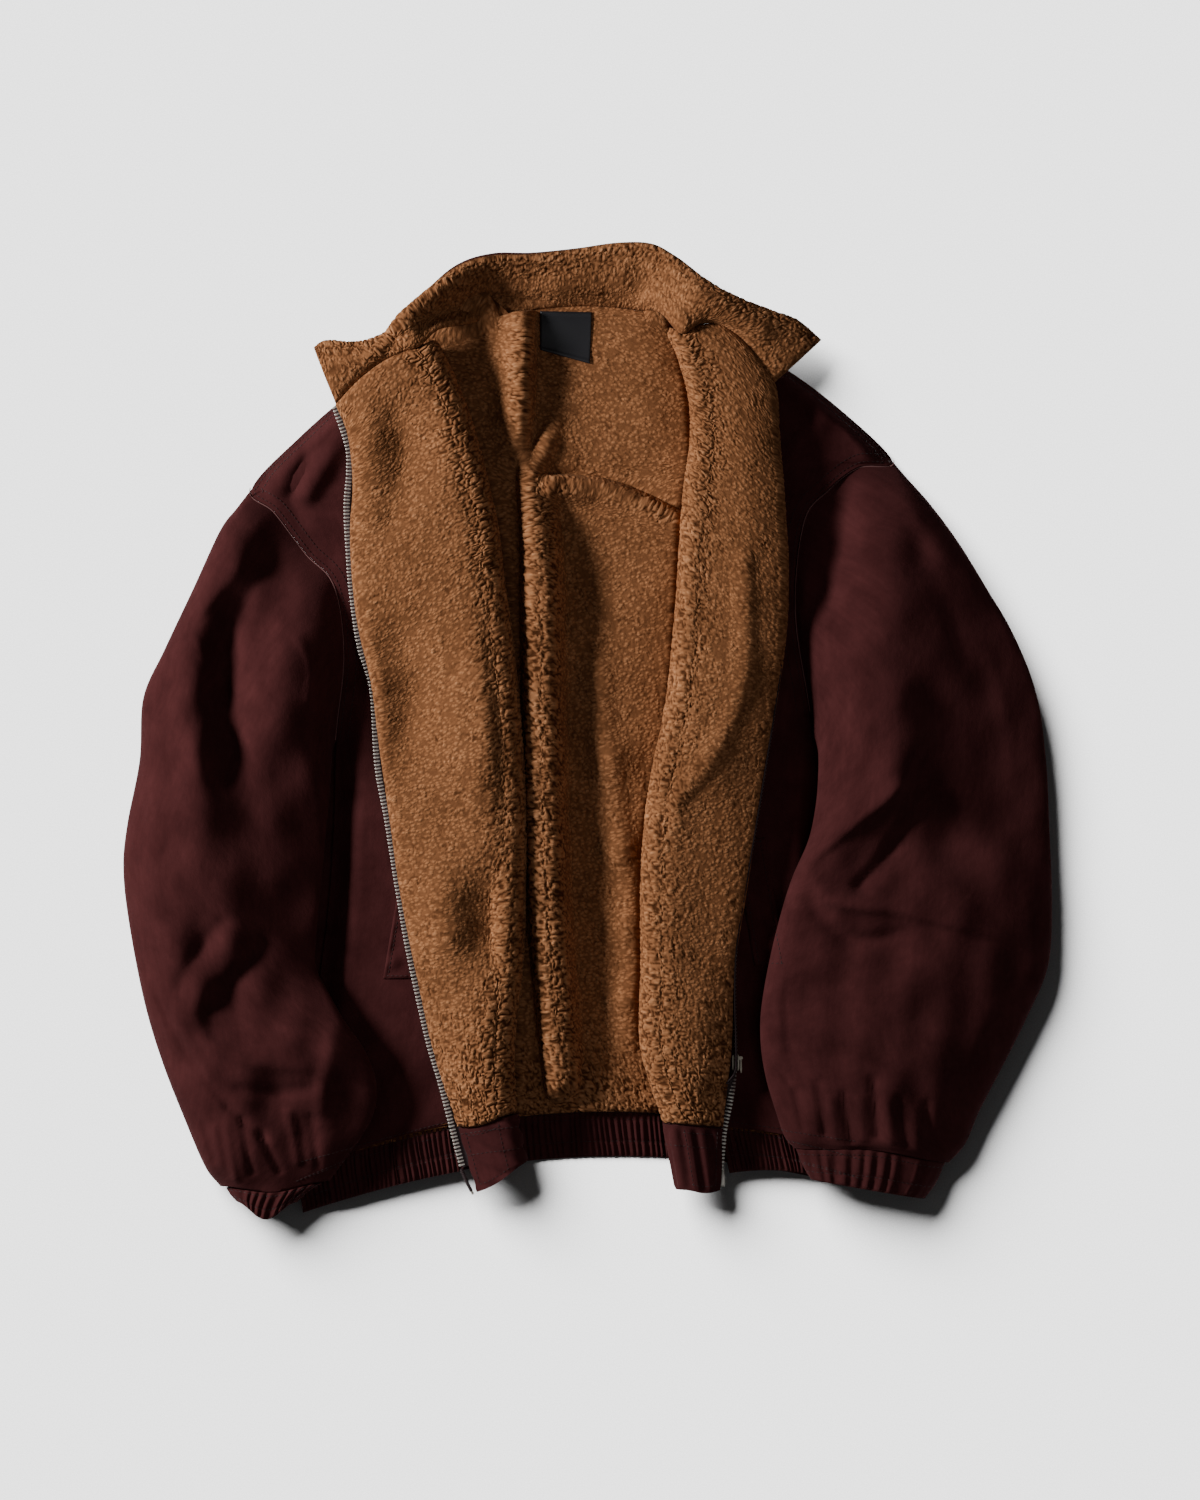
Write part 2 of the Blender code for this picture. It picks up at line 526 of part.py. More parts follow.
def back_relief(at, plan):
    """Folds of the back's lining, fading out under the turned fronts."""
    left = track(FRONT_ROWS["left"], at)[..., 2]
    right = track(FRONT_ROWS["right"], at)[..., 2]
    room = smooth((plan[..., 0] - left + 0.0016) / 0.0056)
    room = room * smooth((right + 0.0016 - plan[..., 0]) / 0.0056)
    return relief(plan[..., 0], plan[..., 1], BACK_FOLDS) * room


def make_back_lining():
    grid_at, plan = back_lining_grid(BACK_LINING_AT)
    rise = back_relief(grid_at, plan)
    over = np.dstack([plan, BACK_FLEECE_TOP + rise])
    under = np.dstack([plan, BACK_FLEECE_LOW + rise])
    wall("back_lining", over, under, "fleece")


def make_label():
    """Plain woven label on the lining, just below the neck seam."""
    a, b, c, d = (np.array(p) for p in LABEL_CORNERS)
    u, v = np.meshgrid(np.linspace(0, 1, 5), np.linspace(0, 1, 4))
    u, v = u[..., None], v[..., None]
    plan = (a * (1 - u) + b * u) * (1 - v) + (d * (1 - u) + c * u) * v
    crest = relief(plan[..., 0], plan[..., 1], BACK_FOLDS).max() + 2 * SEAM
    under = np.dstack([plan, np.full(plan.shape[:2], BACK_FLEECE_TOP + crest)])
    over = under + np.array([0, 0, LABEL_THICKNESS])
    wall("label", over, under, "label_cloth")


# ---------------------------------------------------------------- the fronts
RAMP_SHARES = (0, 0.25, 0.5, 0.75, 1)
LAID_SHARES = (0.25, 0.5, 0.75, 0.95)
ROLL_SHARES = np.linspace(0, 1, 7)[1:-1]
TURNED_SHARES = (0, 0.2, 0.4, 0.6, 0.8, 1)


def make_front(side):
    surface = front_surface(
        side,
        FRONT_AT,
        ramp=RAMP_SHARES,
        laid=LAID_SHARES,
        roll=ROLL_SHARES,
        turned=TURNED_SHARES,
    )
    way = lining_way(side, surface)
    gap = LAYER / 2
    wall(f"front_shell_{side}", surface - way * gap, surface - way * (gap + CANVAS), "canvas")
    lined = slice(4, None)
    cloth, out = surface[:, lined], way[:, lined]
    wall(f"front_lining_{side}", cloth + out * (gap + FLEECE), cloth + out * gap, "fleece")


def make_plain_end(side):
    """The ungathered end of the hem band, folded with the front; it has no lining."""
    half = CANVAS + LAYER / 2
    surface = front_surface(
        side,
        np.linspace(HEM_ROW + 2 * HEM_SEAM, END_ROW, 4),
        ramp=(),
        laid=(BAND_SHARE + 0.015, 0.95),
        roll=ROLL_SHARES,
        turned=TURNED_SHARES,
        inset=half,
    )
    way = lining_way(side, surface)
    wall(f"hem_end_{side}", surface + way * half, surface - way * half, "canvas")


def make_welt(side):
    """Slanted pocket welt on the laid part of a front, moved out from its canvas."""
    top, bottom, width = WELTS[side]
    top, bottom = np.array(top), np.array(bottom)
    lengthways = np.linspace(0, 1, 7)[:, None, None]
    sideways = np.array([0.0, 0.5, 1.0])[None, :, None]
    plan = top + (bottom - top) * lengthways + np.array([width, 0.0]) * sideways
    height = LAID_HEIGHT + LAYER / 2 + CANVAS + LAYER
    under = np.dstack([plan, np.full(plan.shape[:2], height)])
    over = under + np.array([0, 0, WELT_THICKNESS])
    wall(f"pocket_welt_{side}", over, under, "canvas")


# ---------------------------------------------------------------- sleeves and cuffs
def ring_plan(side, ring, s, kept):
    """Plan of one ring, outer edge to inner, with a share of the armhole's own curve."""
    outer, inner, bow = np.array(ring[0:2]), np.array(ring[2:4]), ring[4]
    plan = outer + (inner - outer) * s[:, None]
    plan[:, 1] += bow * np.sin(np.pi * s) ** 2
    hole = row_points(side, SHOULDER_ROW + (UNDERARM_ROW - SHOULDER_ROW) * s)[0]
    chord = hole[0] + (hole[-1] - hole[0]) * s[:, None]
    return plan + kept * (hole - chord)


def ring_heights(side, ring, s, plan, lift, folds):
    """Heights of the upper and lower skin of one ring."""
    crown, outer_rim, inner_rim = ring[5:8]
    rim = outer_rim + (inner_rim - outer_rim) * s
    rise = arch(s)
    over = rim + RIM + (crown - rim - RIM) * rise
    over = over + relief(plan[:, 0], plan[:, 1], folds) * rise * lift
    under = (rim - RIM) * (1 - arch(s, 4.0))
    return over, np.maximum(under, lift * body_lift(side, plan[:, 0], plan[:, 1]))


def inset_loop(loop, depth):
    """A closed outline in (run, height), moved inwards by the wall's thickness."""
    forward = np.roll(loop, -1, axis=0) - loop
    ahead = unit(forward)
    behind = np.roll(ahead, 1, axis=0)
    corner = ahead + behind
    normal = unit(np.column_stack([-corner[:, 1], corner[:, 0]]))
    square = np.sum(normal * np.column_stack([-ahead[:, 1], ahead[:, 0]]), axis=1)
    return loop + normal * (depth / np.maximum(square, 0.6))[:, None]


def ring_skins(side, ring, s, kept, lift, folds, depth):
    """Outer and inner loop of one ring, lower skin first, then the upper one back."""
    plan = ring_plan(side, ring, s, kept)
    over, under = ring_heights(side, ring, s, plan, lift, folds)
    run = np.concatenate([[0], np.cumsum(np.linalg.norm(np.diff(plan, axis=0), axis=1))])
    loop = np.vstack([np.column_stack([run, under]), np.column_stack([run, over])[::-1]])
    inner = inset_loop(loop, depth)
    inner_run = np.clip(inner[:, 0], 0, run[-1])
    inner_plan = np.column_stack([np.interp(inner_run, run, plan[:, k]) for k in (0, 1)])
    outer_plan = np.vstack([plan, plan[::-1]])
    return np.column_stack([outer_plan, loop[:, 1]]), np.column_stack([inner_plan, inner[:, 1]])


def armhole_ring(side):
    """First ring of a sleeve: the armhole, moved out by the seam's gap."""
    seam = row_points(side, np.array([SHOULDER_ROW, UNDERARM_ROW]))[0]
    shift = np.array([-SEAM if side == "left" else SEAM, -SEAM])
    outer, inner = seam[0] + shift, seam[1] + shift
    return (*outer, *inner, 0.0, ARMHOLE_CROWN, RIM, RIM)


def make_sleeve(side):
    s = 0.5 * (1 - np.cos(np.pi * np.arange(HALF_STEPS + 1) / HALF_STEPS))
    rings = [armhole_ring(side)] + SLEEVE_RINGS[side]
    outer, inner = [], []
    for k, ring in enumerate(rings):
        kept = ARMHOLE_CURVE_KEPT[k] if k < len(ARMHOLE_CURVE_KEPT) else 0.0
        skins = ring_skins(side, ring, s, kept, float(smooth(k / 3)), SLEEVE_FOLDS[side], CANVAS)
        outer.append(skins[0])
        inner.append(skins[1])
    wall(f"sleeve_{side}", np.array(outer), np.array(inner), "canvas", tube=True)


def make_cuff(side):
    """Elastic cuff: a plain inside, its gathers raised on the outside but for the underside."""
    steps = GATHERS["cuff"]
    s = np.linspace(0, 1, steps)
    outer, inner = [], []
    for ring in CUFF_RINGS[side]:
        skins = ring_skins(side, ring, s, 0.0, 1.0, [], CUFF_WALL)
        gathered = skins[0].copy()
        ridge = np.arange(steps) % 2 * arch(s)
        gathered[steps:, 2] += CUFF_GATHER * ridge[::-1]
        outer.append(gathered)
        inner.append(skins[1])
    wall(f"cuff_{side}", np.array(outer), np.array(inner), "canvas", tube=True)


# ---------------------------------------------------------------- hem band
def gathered_wall(name, plan, low, ends):
    """A band with a plain underside and gathers across it, fading at its ends."""
    under = np.dstack([plan, low])
    ridge = (np.arange(plan.shape[1]) % 2) * ends
    over = np.dstack([plan, low + BAND_WALL + GATHER_HEIGHT * ridge])
    wall(name, over, under, "canvas")


def make_back_band():
    count = 2 * GATHERS["back"] + 1
    s = np.linspace(0, 1, count)
    at = np.array([HEM_ROW + HEM_SEAM, END_ROW])
    grid_at, grid_s = np.meshgrid(at, s, indexing="ij")
    plan = back_plan(grid_at, grid_s)
    gathered_wall("hem_band_back", plan, np.zeros(grid_at.shape), np.ones(count))


def make_front_band(side):
    count = 2 * GATHERS[side] + 1
    s = np.linspace(0, 1, count)
    seam, fold, _, bow, _ = row_points(side, np.array([HEM_ROW + HEM_SEAM, END_ROW]))
    reach = np.linalg.norm(fold - seam, axis=1)
    width = (reach - ROLL_RADIUS - FOLD_INSET - SIDE_RAMP) * BAND_SHARE + SIDE_RAMP
    distance = width[:, None] * s
    plan = seam[:, None] + unit(fold - seam)[:, None] * distance[..., None]
    share = distance / reach[:, None]
    plan[..., 1] += bow[:, None] * 4 * share * (1 - share)
    low = BAND_SIDE_LOW + (BAND_LAID_LOW - BAND_SIDE_LOW) * smooth(distance / BAND_RAMP)
    gathered_wall(f"hem_band_{side}", plan, low, smooth(distance[0] / 0.020))


# ---------------------------------------------------------------- collar
def neck_edge(panel, along):
    """A point of the neck edge, and the way out from it in plan."""
    if panel == "back":
        s = np.array([along - 0.01, along, along + 0.01])
        plan = back_plan(np.zeros(3), s)
        tangent = unit(plan[2] - plan[0])
        return np.array([*plan[1], SIDE_HEIGHT - SEAM / 4]), np.array([-tangent[1], tangent[0]])
    places = (max(along - 0.02, 0), along, min(along + 0.02, 1))
    surface = front_surface(panel, np.array([0.0]), (), (), (), places)[0]
    tangent = unit(surface[2, :2] - surface[0, :2]) * (-1 if panel == "left" else 1)
    return surface[1], np.array([-tangent[1], tangent[0]])


def collar_surface():
    """Boundary of canvas and lining of the collar: neck edge to outer edge."""
    seam, edge, sag = [], [], []
    for panel, along, away, lift, edge_x, edge_y, edge_z, middle in COLLAR_ROWS:
        point, out = neck_edge(panel, along)
        seam.append([*(point[:2] + out * away), point[2] + lift])
        edge.append([edge_x, edge_y, edge_z])
        sag.append(middle)
    halves = np.arange(0, len(COLLAR_ROWS) - 0.75, 0.5)
    seam, edge, sag = track(seam, halves), track(edge, halves), np.interp(halves, range(len(sag)), sag)
    columns = []
    for w in np.linspace(0, 1, COLLAR_STEPS + 1):
        point = seam * (1 - w) + edge * w
        point[:, 2] += (sag + 0.004) * 4 * w * (1 - w)
        columns.append(point)
    return np.stack(columns, axis=1)


def make_collar():
    surface = collar_surface()
    along = np.gradient(surface, axis=0)
    outward = np.gradient(surface, axis=1)
    upward = unit(np.cross(along, outward))
    upright = np.array([0.0, 0.0, 1.0])
    share = np.linspace(0, 1, COLLAR_STEPS + 1)[None, :, None]
    way = unit(upright * (1 - smooth(share * 2)) + upward * smooth(share * 2))
    gap = LAYER / 2
    wall("collar_lining", surface + way * (gap + FLEECE), surface + way * gap, "fleece")
    wall("collar_shell", surface - way * gap, surface - way * (gap + CANVAS), "canvas")


# ---------------------------------------------------------------- zip
def rod(name, points, radius, finish_name, sides_step=1):
    """A round rod along a line of points, as a bevelled curve with filled caps."""
    curve = bpy.data.curves.new(name, "CURVE")
    curve.dimensions = "3D"
    curve.bevel_depth = radius
    curve.bevel_resolution = sides_step
    curve.use_fill_caps = True
    line = curve.splines.new("POLY")
    line.points.add(len(points) - 1)
    for target, point in zip(line.points, points):
        target.co = (*point, 1.0)
    curve.materials.append(finish(finish_name))
    thing = bpy.data.objects.new(name, curve)
    garment_collection().objects.link(thing)


def chain_line(side, steps=24):
    route = CHAIN_ROUTE[side]
    plan = track(route, np.linspace(0, len(route) - 1, steps))
    return np.column_stack([plan, np.full(steps, CHAIN_HEIGHT)])


def make_tape(side):
    line = chain_line(side)
    ahead = unit(np.gradient(line[:, :2], axis=0))
    inward = np.column_stack([-ahead[:, 1], ahead[:, 0]]) * (1 if side == "left" else -1)
    columns = []
    for reach, height in TAPE_SECTION[side]:
        plan = line[:, :2] + inward * reach
        columns.append(np.column_stack([plan, np.full(len(plan), height)]))
    under = np.stack(columns, axis=1)
    over = under + np.array([0, 0, TAPE_THICKNESS])
    wall(f"zip_tape_{side}", over, under, "tape")


def box(name, centre, size, finish_name):
    bpy.ops.mesh.primitive_cube_add(size=1.0, location=centre)
    thing = bpy.context.active_object
    thing.name = name
    thing.scale = size
    bpy.ops.object.transform_apply(location=False, rotation=False, scale=True)
    thing.data.materials.append(finish(finish_name))
    for other in list(thing.users_collection):
        other.objects.unlink(thing)
    garment_collection().objects.link(thing)
    return thing


def round_edges(thing, width):
    bevel = thing.modifiers.new("rounded", "BEVEL")
    bevel.width = width
    bevel.segments = 1
    bevel.limit_method = "ANGLE"


def make_box_end():
    thing = box("zip_box_right", (*BOX_AT, CHAIN_HEIGHT), BOX_SIZE, "zip_metal")
    round_edges(thing, 0.0006)


def extruded(name, outline, axis_range, place, finish_name):
    """A prism: an outline in (x, z) drawn along y, placed by its local origin."""
    shape = bmesh.new()
    near = [shape.verts.new((x, axis_range[0], z)) for x, z in outline]
    far = [shape.verts.new((x, axis_range[1], z)) for x, z in outline]
    shape.faces.new(near)
    shape.faces.new(far[::-1])
    for i in range(len(outline)):
        j = (i + 1) % len(outline)
        shape.faces.new((near[i], far[i], far[j], near[j]))
    bmesh.ops.recalc_face_normals(shape, faces=shape.faces)
    mesh = bpy.data.meshes.new(name)
    shape.to_mesh(mesh)
    shape.free()
    thing = add_object(name, mesh, finish_name, smooth=False)
    thing.location = place
    return thing


def hinge_place():
    x = SLIDER_AT[0] + SLIDER_HALF_WIDTH + HINGE_OUT
    return (x, SLIDER_AT[1] + HINGE_BACK, CHAIN_HEIGHT + lug_middle())


def lug_middle():
    return 0.5 * (SLIDER_BASE + SLIDER_TOPS["outer"])


def make_slider():
    """The slider stands on its edge: a channel round the teeth, with two lugs for the pull."""
    w, c = SLIDER_HALF_WIDTH, CHANNEL_HALF_WIDTH
    inner, outer = SLIDER_TOPS["inner"], SLIDER_TOPS["outer"]
    outline = [
        (-w, SLIDER_BASE), (w, SLIDER_BASE), (w, outer), (c, outer),
        (c, CHANNEL_FLOOR), (-c, CHANNEL_FLOOR), (-c, inner), (-w, inner),
    ]
    half = SLIDER_LENGTH / 2
    place = (*SLIDER_AT, CHAIN_HEIGHT)
    slider = extruded("zip_slider", outline, (-half, half), place, "zip_metal")
    hinge_x, hinge_y, _ = hinge_place()
    for low in (SLIDER_BASE, outer - LUG_THICKNESS):
        lug_width = LUG_REACH + 0.0006
        centre = (SLIDER_AT[0] + w - 0.0006 + lug_width / 2, hinge_y, CHAIN_HEIGHT + low + LUG_THICKNESS / 2)
        lug = box("zip_lug_tool", centre, (lug_width, 0.0030, LUG_THICKNESS), "zip_metal")
        join = slider.modifiers.new("lug", "BOOLEAN")
        join.operation = "UNION"
        join.object = lug
        lug.hide_render = True
        lug.display_type = "WIRE"
        garment_collection().objects.unlink(lug)
        tools_collection().objects.link(lug)


def tools_collection():
    if "zip_tools" not in bpy.data.collections:
        made = bpy.data.collections.new("zip_tools")
        bpy.context.scene.collection.children.link(made)
    return bpy.data.collections["zip_tools"]


def make_pull():
    """Flat pull tab with a barrel, its origin on the hinge axis."""
    half = PULL_THICKNESS / 2
    turn = np.radians(np.arange(0, 181, 30))
    ring = [(-half, -PULL_LENGTH + 0.0008), (-half, -0.0009)]
    ring += [(-PULL_BARREL * math.cos(a), PULL_BARREL * math.sin(a)) for a in turn]
    ring += [(half, -0.0009), (half, -PULL_LENGTH + 0.0008)]
    ring += [(half * 0.4, -PULL_LENGTH), (-half * 0.4, -PULL_LENGTH)]
    shape = bmesh.new()
    low = [shape.verts.new((x, y, -PULL_HEIGHT / 2)) for x, y in ring]
    high = [shape.verts.new((x, y, PULL_HEIGHT / 2)) for x, y in ring]
    shape.faces.new(low)
    shape.faces.new(high[::-1])
    for i in range(len(ring)):
        j = (i + 1) % len(ring)
        shape.faces.new((low[i], high[i], high[j], low[j]))
    bmesh.ops.recalc_face_normals(shape, faces=shape.faces)
    mesh = bpy.data.meshes.new("zip_pull")
    shape.to_mesh(mesh)
    shape.free()
    thing = add_object("zip_pull", mesh, "zip_metal", smooth=False)
    thing.location = hinge_place()


def make_zip():
    for side in ("left", "right"):
        rod(f"zip_chain_{side}", chain_line(side), CHAIN_RADIUS, "zip_metal")
        make_tape(side)
    pin = [(x, y, CHAIN_HEIGHT) for x, y in track(PIN_ROUTE, np.linspace(0, 2, 5))]
    rod("zip_pin_left", pin, PIN_RADIUS, "tape")
    make_box_end()
    make_slider()
    make_pull()


def main():
    clear_scene()
    make_back()
    make_back_lining()
    make_label()
    for side in ("left", "right"):
        make_front(side)
        make_plain_end(side)
        make_welt(side)
        make_sleeve(side)
        make_cuff(side)
        make_front_band(side)
    make_back_band()
    make_collar()
    make_zip()


main()
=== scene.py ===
# %% [markdown]
# # A zip jacket laid on its back
# A short cotton canvas jacket lies on its back with both fronts folded outwards, so the curly
# fleece lining faces the camera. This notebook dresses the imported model: every piece of cloth
# is rebuilt finely on the form of its plain solid, then gets its folds, seams and finish.

import math

import bmesh
import bpy
import numpy as np
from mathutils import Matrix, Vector
from mathutils.bvhtree import BVHTree


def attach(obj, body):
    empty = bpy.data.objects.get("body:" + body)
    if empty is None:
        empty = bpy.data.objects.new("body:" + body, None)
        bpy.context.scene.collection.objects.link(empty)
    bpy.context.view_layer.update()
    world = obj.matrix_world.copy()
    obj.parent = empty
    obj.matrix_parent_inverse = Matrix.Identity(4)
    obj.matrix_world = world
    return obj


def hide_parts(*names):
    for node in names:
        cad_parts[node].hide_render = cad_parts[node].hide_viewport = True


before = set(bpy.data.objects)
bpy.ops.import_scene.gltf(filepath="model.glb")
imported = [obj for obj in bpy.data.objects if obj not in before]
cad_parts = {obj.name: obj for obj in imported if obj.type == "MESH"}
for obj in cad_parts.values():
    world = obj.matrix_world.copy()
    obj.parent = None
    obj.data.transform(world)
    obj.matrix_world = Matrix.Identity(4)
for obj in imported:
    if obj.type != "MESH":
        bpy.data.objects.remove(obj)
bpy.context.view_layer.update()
print("nodes in the frame:", len(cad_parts))

# %% [markdown]
# ## The pattern
# A pattern cutter writes a jacket down as a few measured rows, and the cloth runs smoothly
# through them. The tables here hold the same rows as the solids, in metres seen from above.
# A smooth curve through a table gives as fine a grid as a piece needs, which is why the cloth
# is made from tables and not by moving points of the plain solids about.

# %% Curves through tables
def smooth(x):
    x = np.clip(x, 0.0, 1.0)
    return x * x * (3 - 2 * x)


def track(rows, at):
    """A smooth curve through the rows of a table; `at` counts rows from 0."""
    rows = np.asarray(rows, float)
    at = np.clip(np.asarray(at, float), 0, len(rows) - 1)
    i = np.minimum(at.astype(int), len(rows) - 2)
    t = (at - i)[..., None]
    padded = np.vstack([2 * rows[0] - rows[1], rows, 2 * rows[-1] - rows[-2]])
    a, b, c, d = (padded[i + k] for k in range(4))
    cubic = (3 * b - a - 3 * c + d) * t**3
    return 0.5 * (2 * b + (c - a) * t + (2 * a - 5 * b + 4 * c - d) * t**2 + cubic)


def unit(v):
    return v / np.maximum(np.linalg.norm(v, axis=-1, keepdims=True), 1e-12)


def arch(s, power=3.0):
    """1 in the middle of 0..1 and 0 at both ends, with a broad crown."""
    return np.sqrt(np.maximum(0.0, 1 - np.abs(2 * s - 1) ** power))


def bow_at(bow, s):
    """Sideways bow of a line at share s of its length: nothing at the ends, all of it midway."""
    return bow * 4 * s * (1 - s)


def bell(distance, width):
    """1 at distance 0, falling off softly to nothing beyond about two widths."""
    return np.exp(-((distance / width) ** 2))


def mesh_rows(count, across):
    """Two grids of shares, down and along, over a piece with this many rows and columns."""
    return np.meshgrid(np.linspace(0, 1, count), np.linspace(0, 1, across), indexing="ij")


# %% The rows of the two fronts
SIDES = ("left", "right")
TURN = {"left": 1, "right": -1}  # the right side mirrors the left one
SHOULDER_ROW, UNDERARM_ROW, HEM_ROW, END_ROW = 3, 8, 13, 14
# side_x, side_y, fold_x, fold_y, zip_x, zip_y, bow of the laid part, bow of the turned part
FRONT_ROWS = {
    "left": [
        (-0.148, 0.300, -0.120, 0.313, -0.201, 0.260, 0.000, 0.009),
        (-0.188, 0.271, -0.110, 0.294, -0.192, 0.239, 0.000, 0.007),
        (-0.230, 0.235, -0.095, 0.259, -0.188, 0.215, 0.000, 0.004),
        (-0.269, 0.193, -0.085, 0.226, -0.187, 0.190, 0.000, 0.002),
        (-0.250, 0.174, -0.078, 0.199, -0.189, 0.163, 0.000, 0.000),
        (-0.225, 0.141, -0.070, 0.163, -0.188, 0.126, 0.000, 0.000),
        (-0.202, 0.115, -0.066, 0.129, -0.183, 0.083, 0.000, 0.000),
        (-0.194, 0.059, -0.058, 0.071, -0.172, 0.035, 0.000, 0.000),
        (-0.201, -0.009, -0.052, 0.011, -0.166, -0.013, 0.000, 0.000),
        (-0.203, -0.073, -0.048, -0.057, -0.158, -0.069, 0.000, 0.000),
        (-0.207, -0.137, -0.048, -0.125, -0.149, -0.131, 0.000, 0.000),
        (-0.215, -0.205, -0.050, -0.191, -0.137, -0.191, 0.001, 0.000),
        (-0.223, -0.277, -0.057, -0.254, -0.122, -0.257, 0.003, -0.001),
        (-0.231, -0.354, -0.055, -0.306, -0.102, -0.318, 0.008, -0.003),
        (-0.228, -0.388, -0.048, -0.346, -0.087, -0.370, 0.005, -0.002),
    ],
    "right": [
        (0.113, 0.314, 0.062, 0.322, 0.147, 0.274, 0.000, 0.026),
        (0.158, 0.290, 0.071, 0.302, 0.151, 0.259, 0.000, 0.018),
        (0.205, 0.255, 0.079, 0.275, 0.152, 0.235, 0.000, 0.010),
        (0.245, 0.215, 0.082, 0.251, 0.154, 0.211, 0.000, 0.004),
        (0.217, 0.210, 0.081, 0.227, 0.156, 0.190, 0.000, 0.002),
        (0.193, 0.192, 0.077, 0.199, 0.158, 0.163, 0.000, 0.000),
        (0.173, 0.166, 0.074, 0.167, 0.160, 0.131, 0.000, 0.000),
        (0.166, 0.094, 0.070, 0.103, 0.159, 0.079, 0.000, 0.000),
        (0.178, 0.014, 0.062, 0.023, 0.151, 0.019, 0.000, 0.000),
        (0.186, -0.057, 0.048, -0.049, 0.139, -0.049, 0.000, 0.000),
        (0.194, -0.125, 0.042, -0.117, 0.129, -0.119, 0.000, 0.000),
        (0.202, -0.193, 0.042, -0.185, 0.118, -0.189, 0.000, 0.000),
        (0.210, -0.261, 0.042, -0.253, 0.115, -0.257, 0.002, 0.000),
        (0.217, -0.337, 0.060, -0.314, 0.108, -0.318, 0.006, 0.000),
        (0.220, -0.369, 0.071, -0.368, 0.105, -0.369, 0.015, -0.002),
    ],
}
BACK_BOWS = (
    0.032, 0.027, 0.021, 0.013, 0.007, 0.003, 0.002, 0.000,
    0.000, 0.003, 0.008, 0.016, 0.026, 0.038, 0.035,
)


def row_points(side, at):
    """Side seam, fold and zip edge of a front at these rows, and its two bows."""
    row = track(FRONT_ROWS[side], at)
    return row[..., 0:2], row[..., 2:4], row[..., 4:6], row[..., 6], row[..., 7]


def back_plan(at, s):
    """Plan of the back: rows `at`, shares `s` from the left side seam to the right one."""
    left = track(FRONT_ROWS["left"], at)[..., 0:2]
    right = track(FRONT_ROWS["right"], at)[..., 0:2]
    bow = track([(b,) for b in BACK_BOWS], at)[..., 0]
    plan = left + (right - left) * s[..., None]
    plan[..., 1] += bow_at(bow, s)
    return plan


# %% [markdown]
# ## Cloth as a mesh
# Each piece is a closed thin wall. Its outer skin is a fine grid, because that is what shows,
# and its inner skin is a coarse one. The rim between them is zipped together, which keeps the
# wall closed without spending faces where nobody looks. Every point also carries its place in
# the flat cloth, so that weave and curls keep one scale over folds.

# %% Closed walls from two skins
CLOTH_SHARP = 75  # degrees: rims of the cloth keep an edge, folds don't


def put(name, data):
    """A new object of the scene."""
    thing = bpy.data.objects.new(name, data)
    bpy.context.scene.collection.objects.link(thing)
    return thing


def belong(thing, body, replaced):
    """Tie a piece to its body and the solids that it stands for."""
    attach(thing, body)
    if replaced:
        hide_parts(*replaced)


def stitch_rim(shape, near, far, loop):
    """Faces between two lines of points with different counts."""
    count = len(near), len(far)
    steps = [c if loop else c - 1 for c in count]
    i = j = 0
    while i < steps[0] or j < steps[1]:
        a, b = near[i % count[0]], far[j % count[1]]
        first = j >= steps[1] or (i < steps[0] and (i + 1) * steps[1] <= (j + 1) * steps[0])
        if first:
            shape.faces.new((a, near[(i + 1) % count[0]], b))
            i += 1
        else:
            shape.faces.new((a, far[(j + 1) % count[1]], b))
            j += 1


def add_skin(shape, grid, tube):
    points = [[shape.verts.new(p) for p in row] for row in grid.tolist()]
    rows, columns = grid.shape[:2]
    for r in range(rows - 1):
        here, below = points[r], points[r + 1]
        for c in range(columns if tube else columns - 1):
            d = (c + 1) % columns
            shape.faces.new((here[c], here[d], below[d], below[c]))
    return points


def flat_place(grid):
    """Each point's place in the flat cloth: along its row from the middle, and down the rows."""
    across = np.linalg.norm(np.diff(grid, axis=1), axis=2)
    run = np.concatenate([np.zeros((len(grid), 1)), np.cumsum(across, axis=1)], axis=1)
    run -= run[:, [grid.shape[1] // 2]]
    down = np.linalg.norm(np.diff(grid, axis=0), axis=2)
    fall = np.concatenate([[0], np.cumsum(np.median(down, axis=1))])
    return np.dstack([run, np.broadcast_to(fall[:, None], run.shape)])


def cloth(name, outer, inner, replaced, place=None, pile=None, tube=False, body="jacket"):
    """A closed wall of cloth that stands for one or more CAD nodes."""
    shape = bmesh.new()
    top = add_skin(shape, outer, tube)
    under = add_skin(shape, inner, tube)
    for r in (0, -1):
        stitch_rim(shape, top[r], under[r], tube)
    if not tube:
        for c in (0, -1):
            stitch_rim(shape, [row[c] for row in top], [row[c] for row in under], False)
    bmesh.ops.recalc_face_normals(shape, faces=shape.faces)
    mesh = bpy.data.meshes.new(name)
    shape.to_mesh(mesh)
    shape.free()
    thing = put(name, mesh)
    flat = flat_place(outer) if place is None else place
    inner_flat = flat_place(inner)
    spots = np.zeros((len(mesh.vertices), 3))
    spots[:, :2] = np.vstack([flat.reshape(-1, 2), inner_flat.reshape(-1, 2)])
    mesh.attributes.new("flat", "FLOAT_VECTOR", "POINT").data.foreach_set("vector", spots.ravel())
    depth = np.zeros(len(mesh.vertices))
    if pile is not None:
        depth[: pile.size] = pile.ravel()
    mesh.attributes.new("pile", "FLOAT", "POINT").data.foreach_set("value", depth)
    mesh.shade_smooth()
    mesh.set_sharp_from_angle(angle=math.radians(CLOTH_SHARP))
    belong(thing, body, replaced)
    return thing


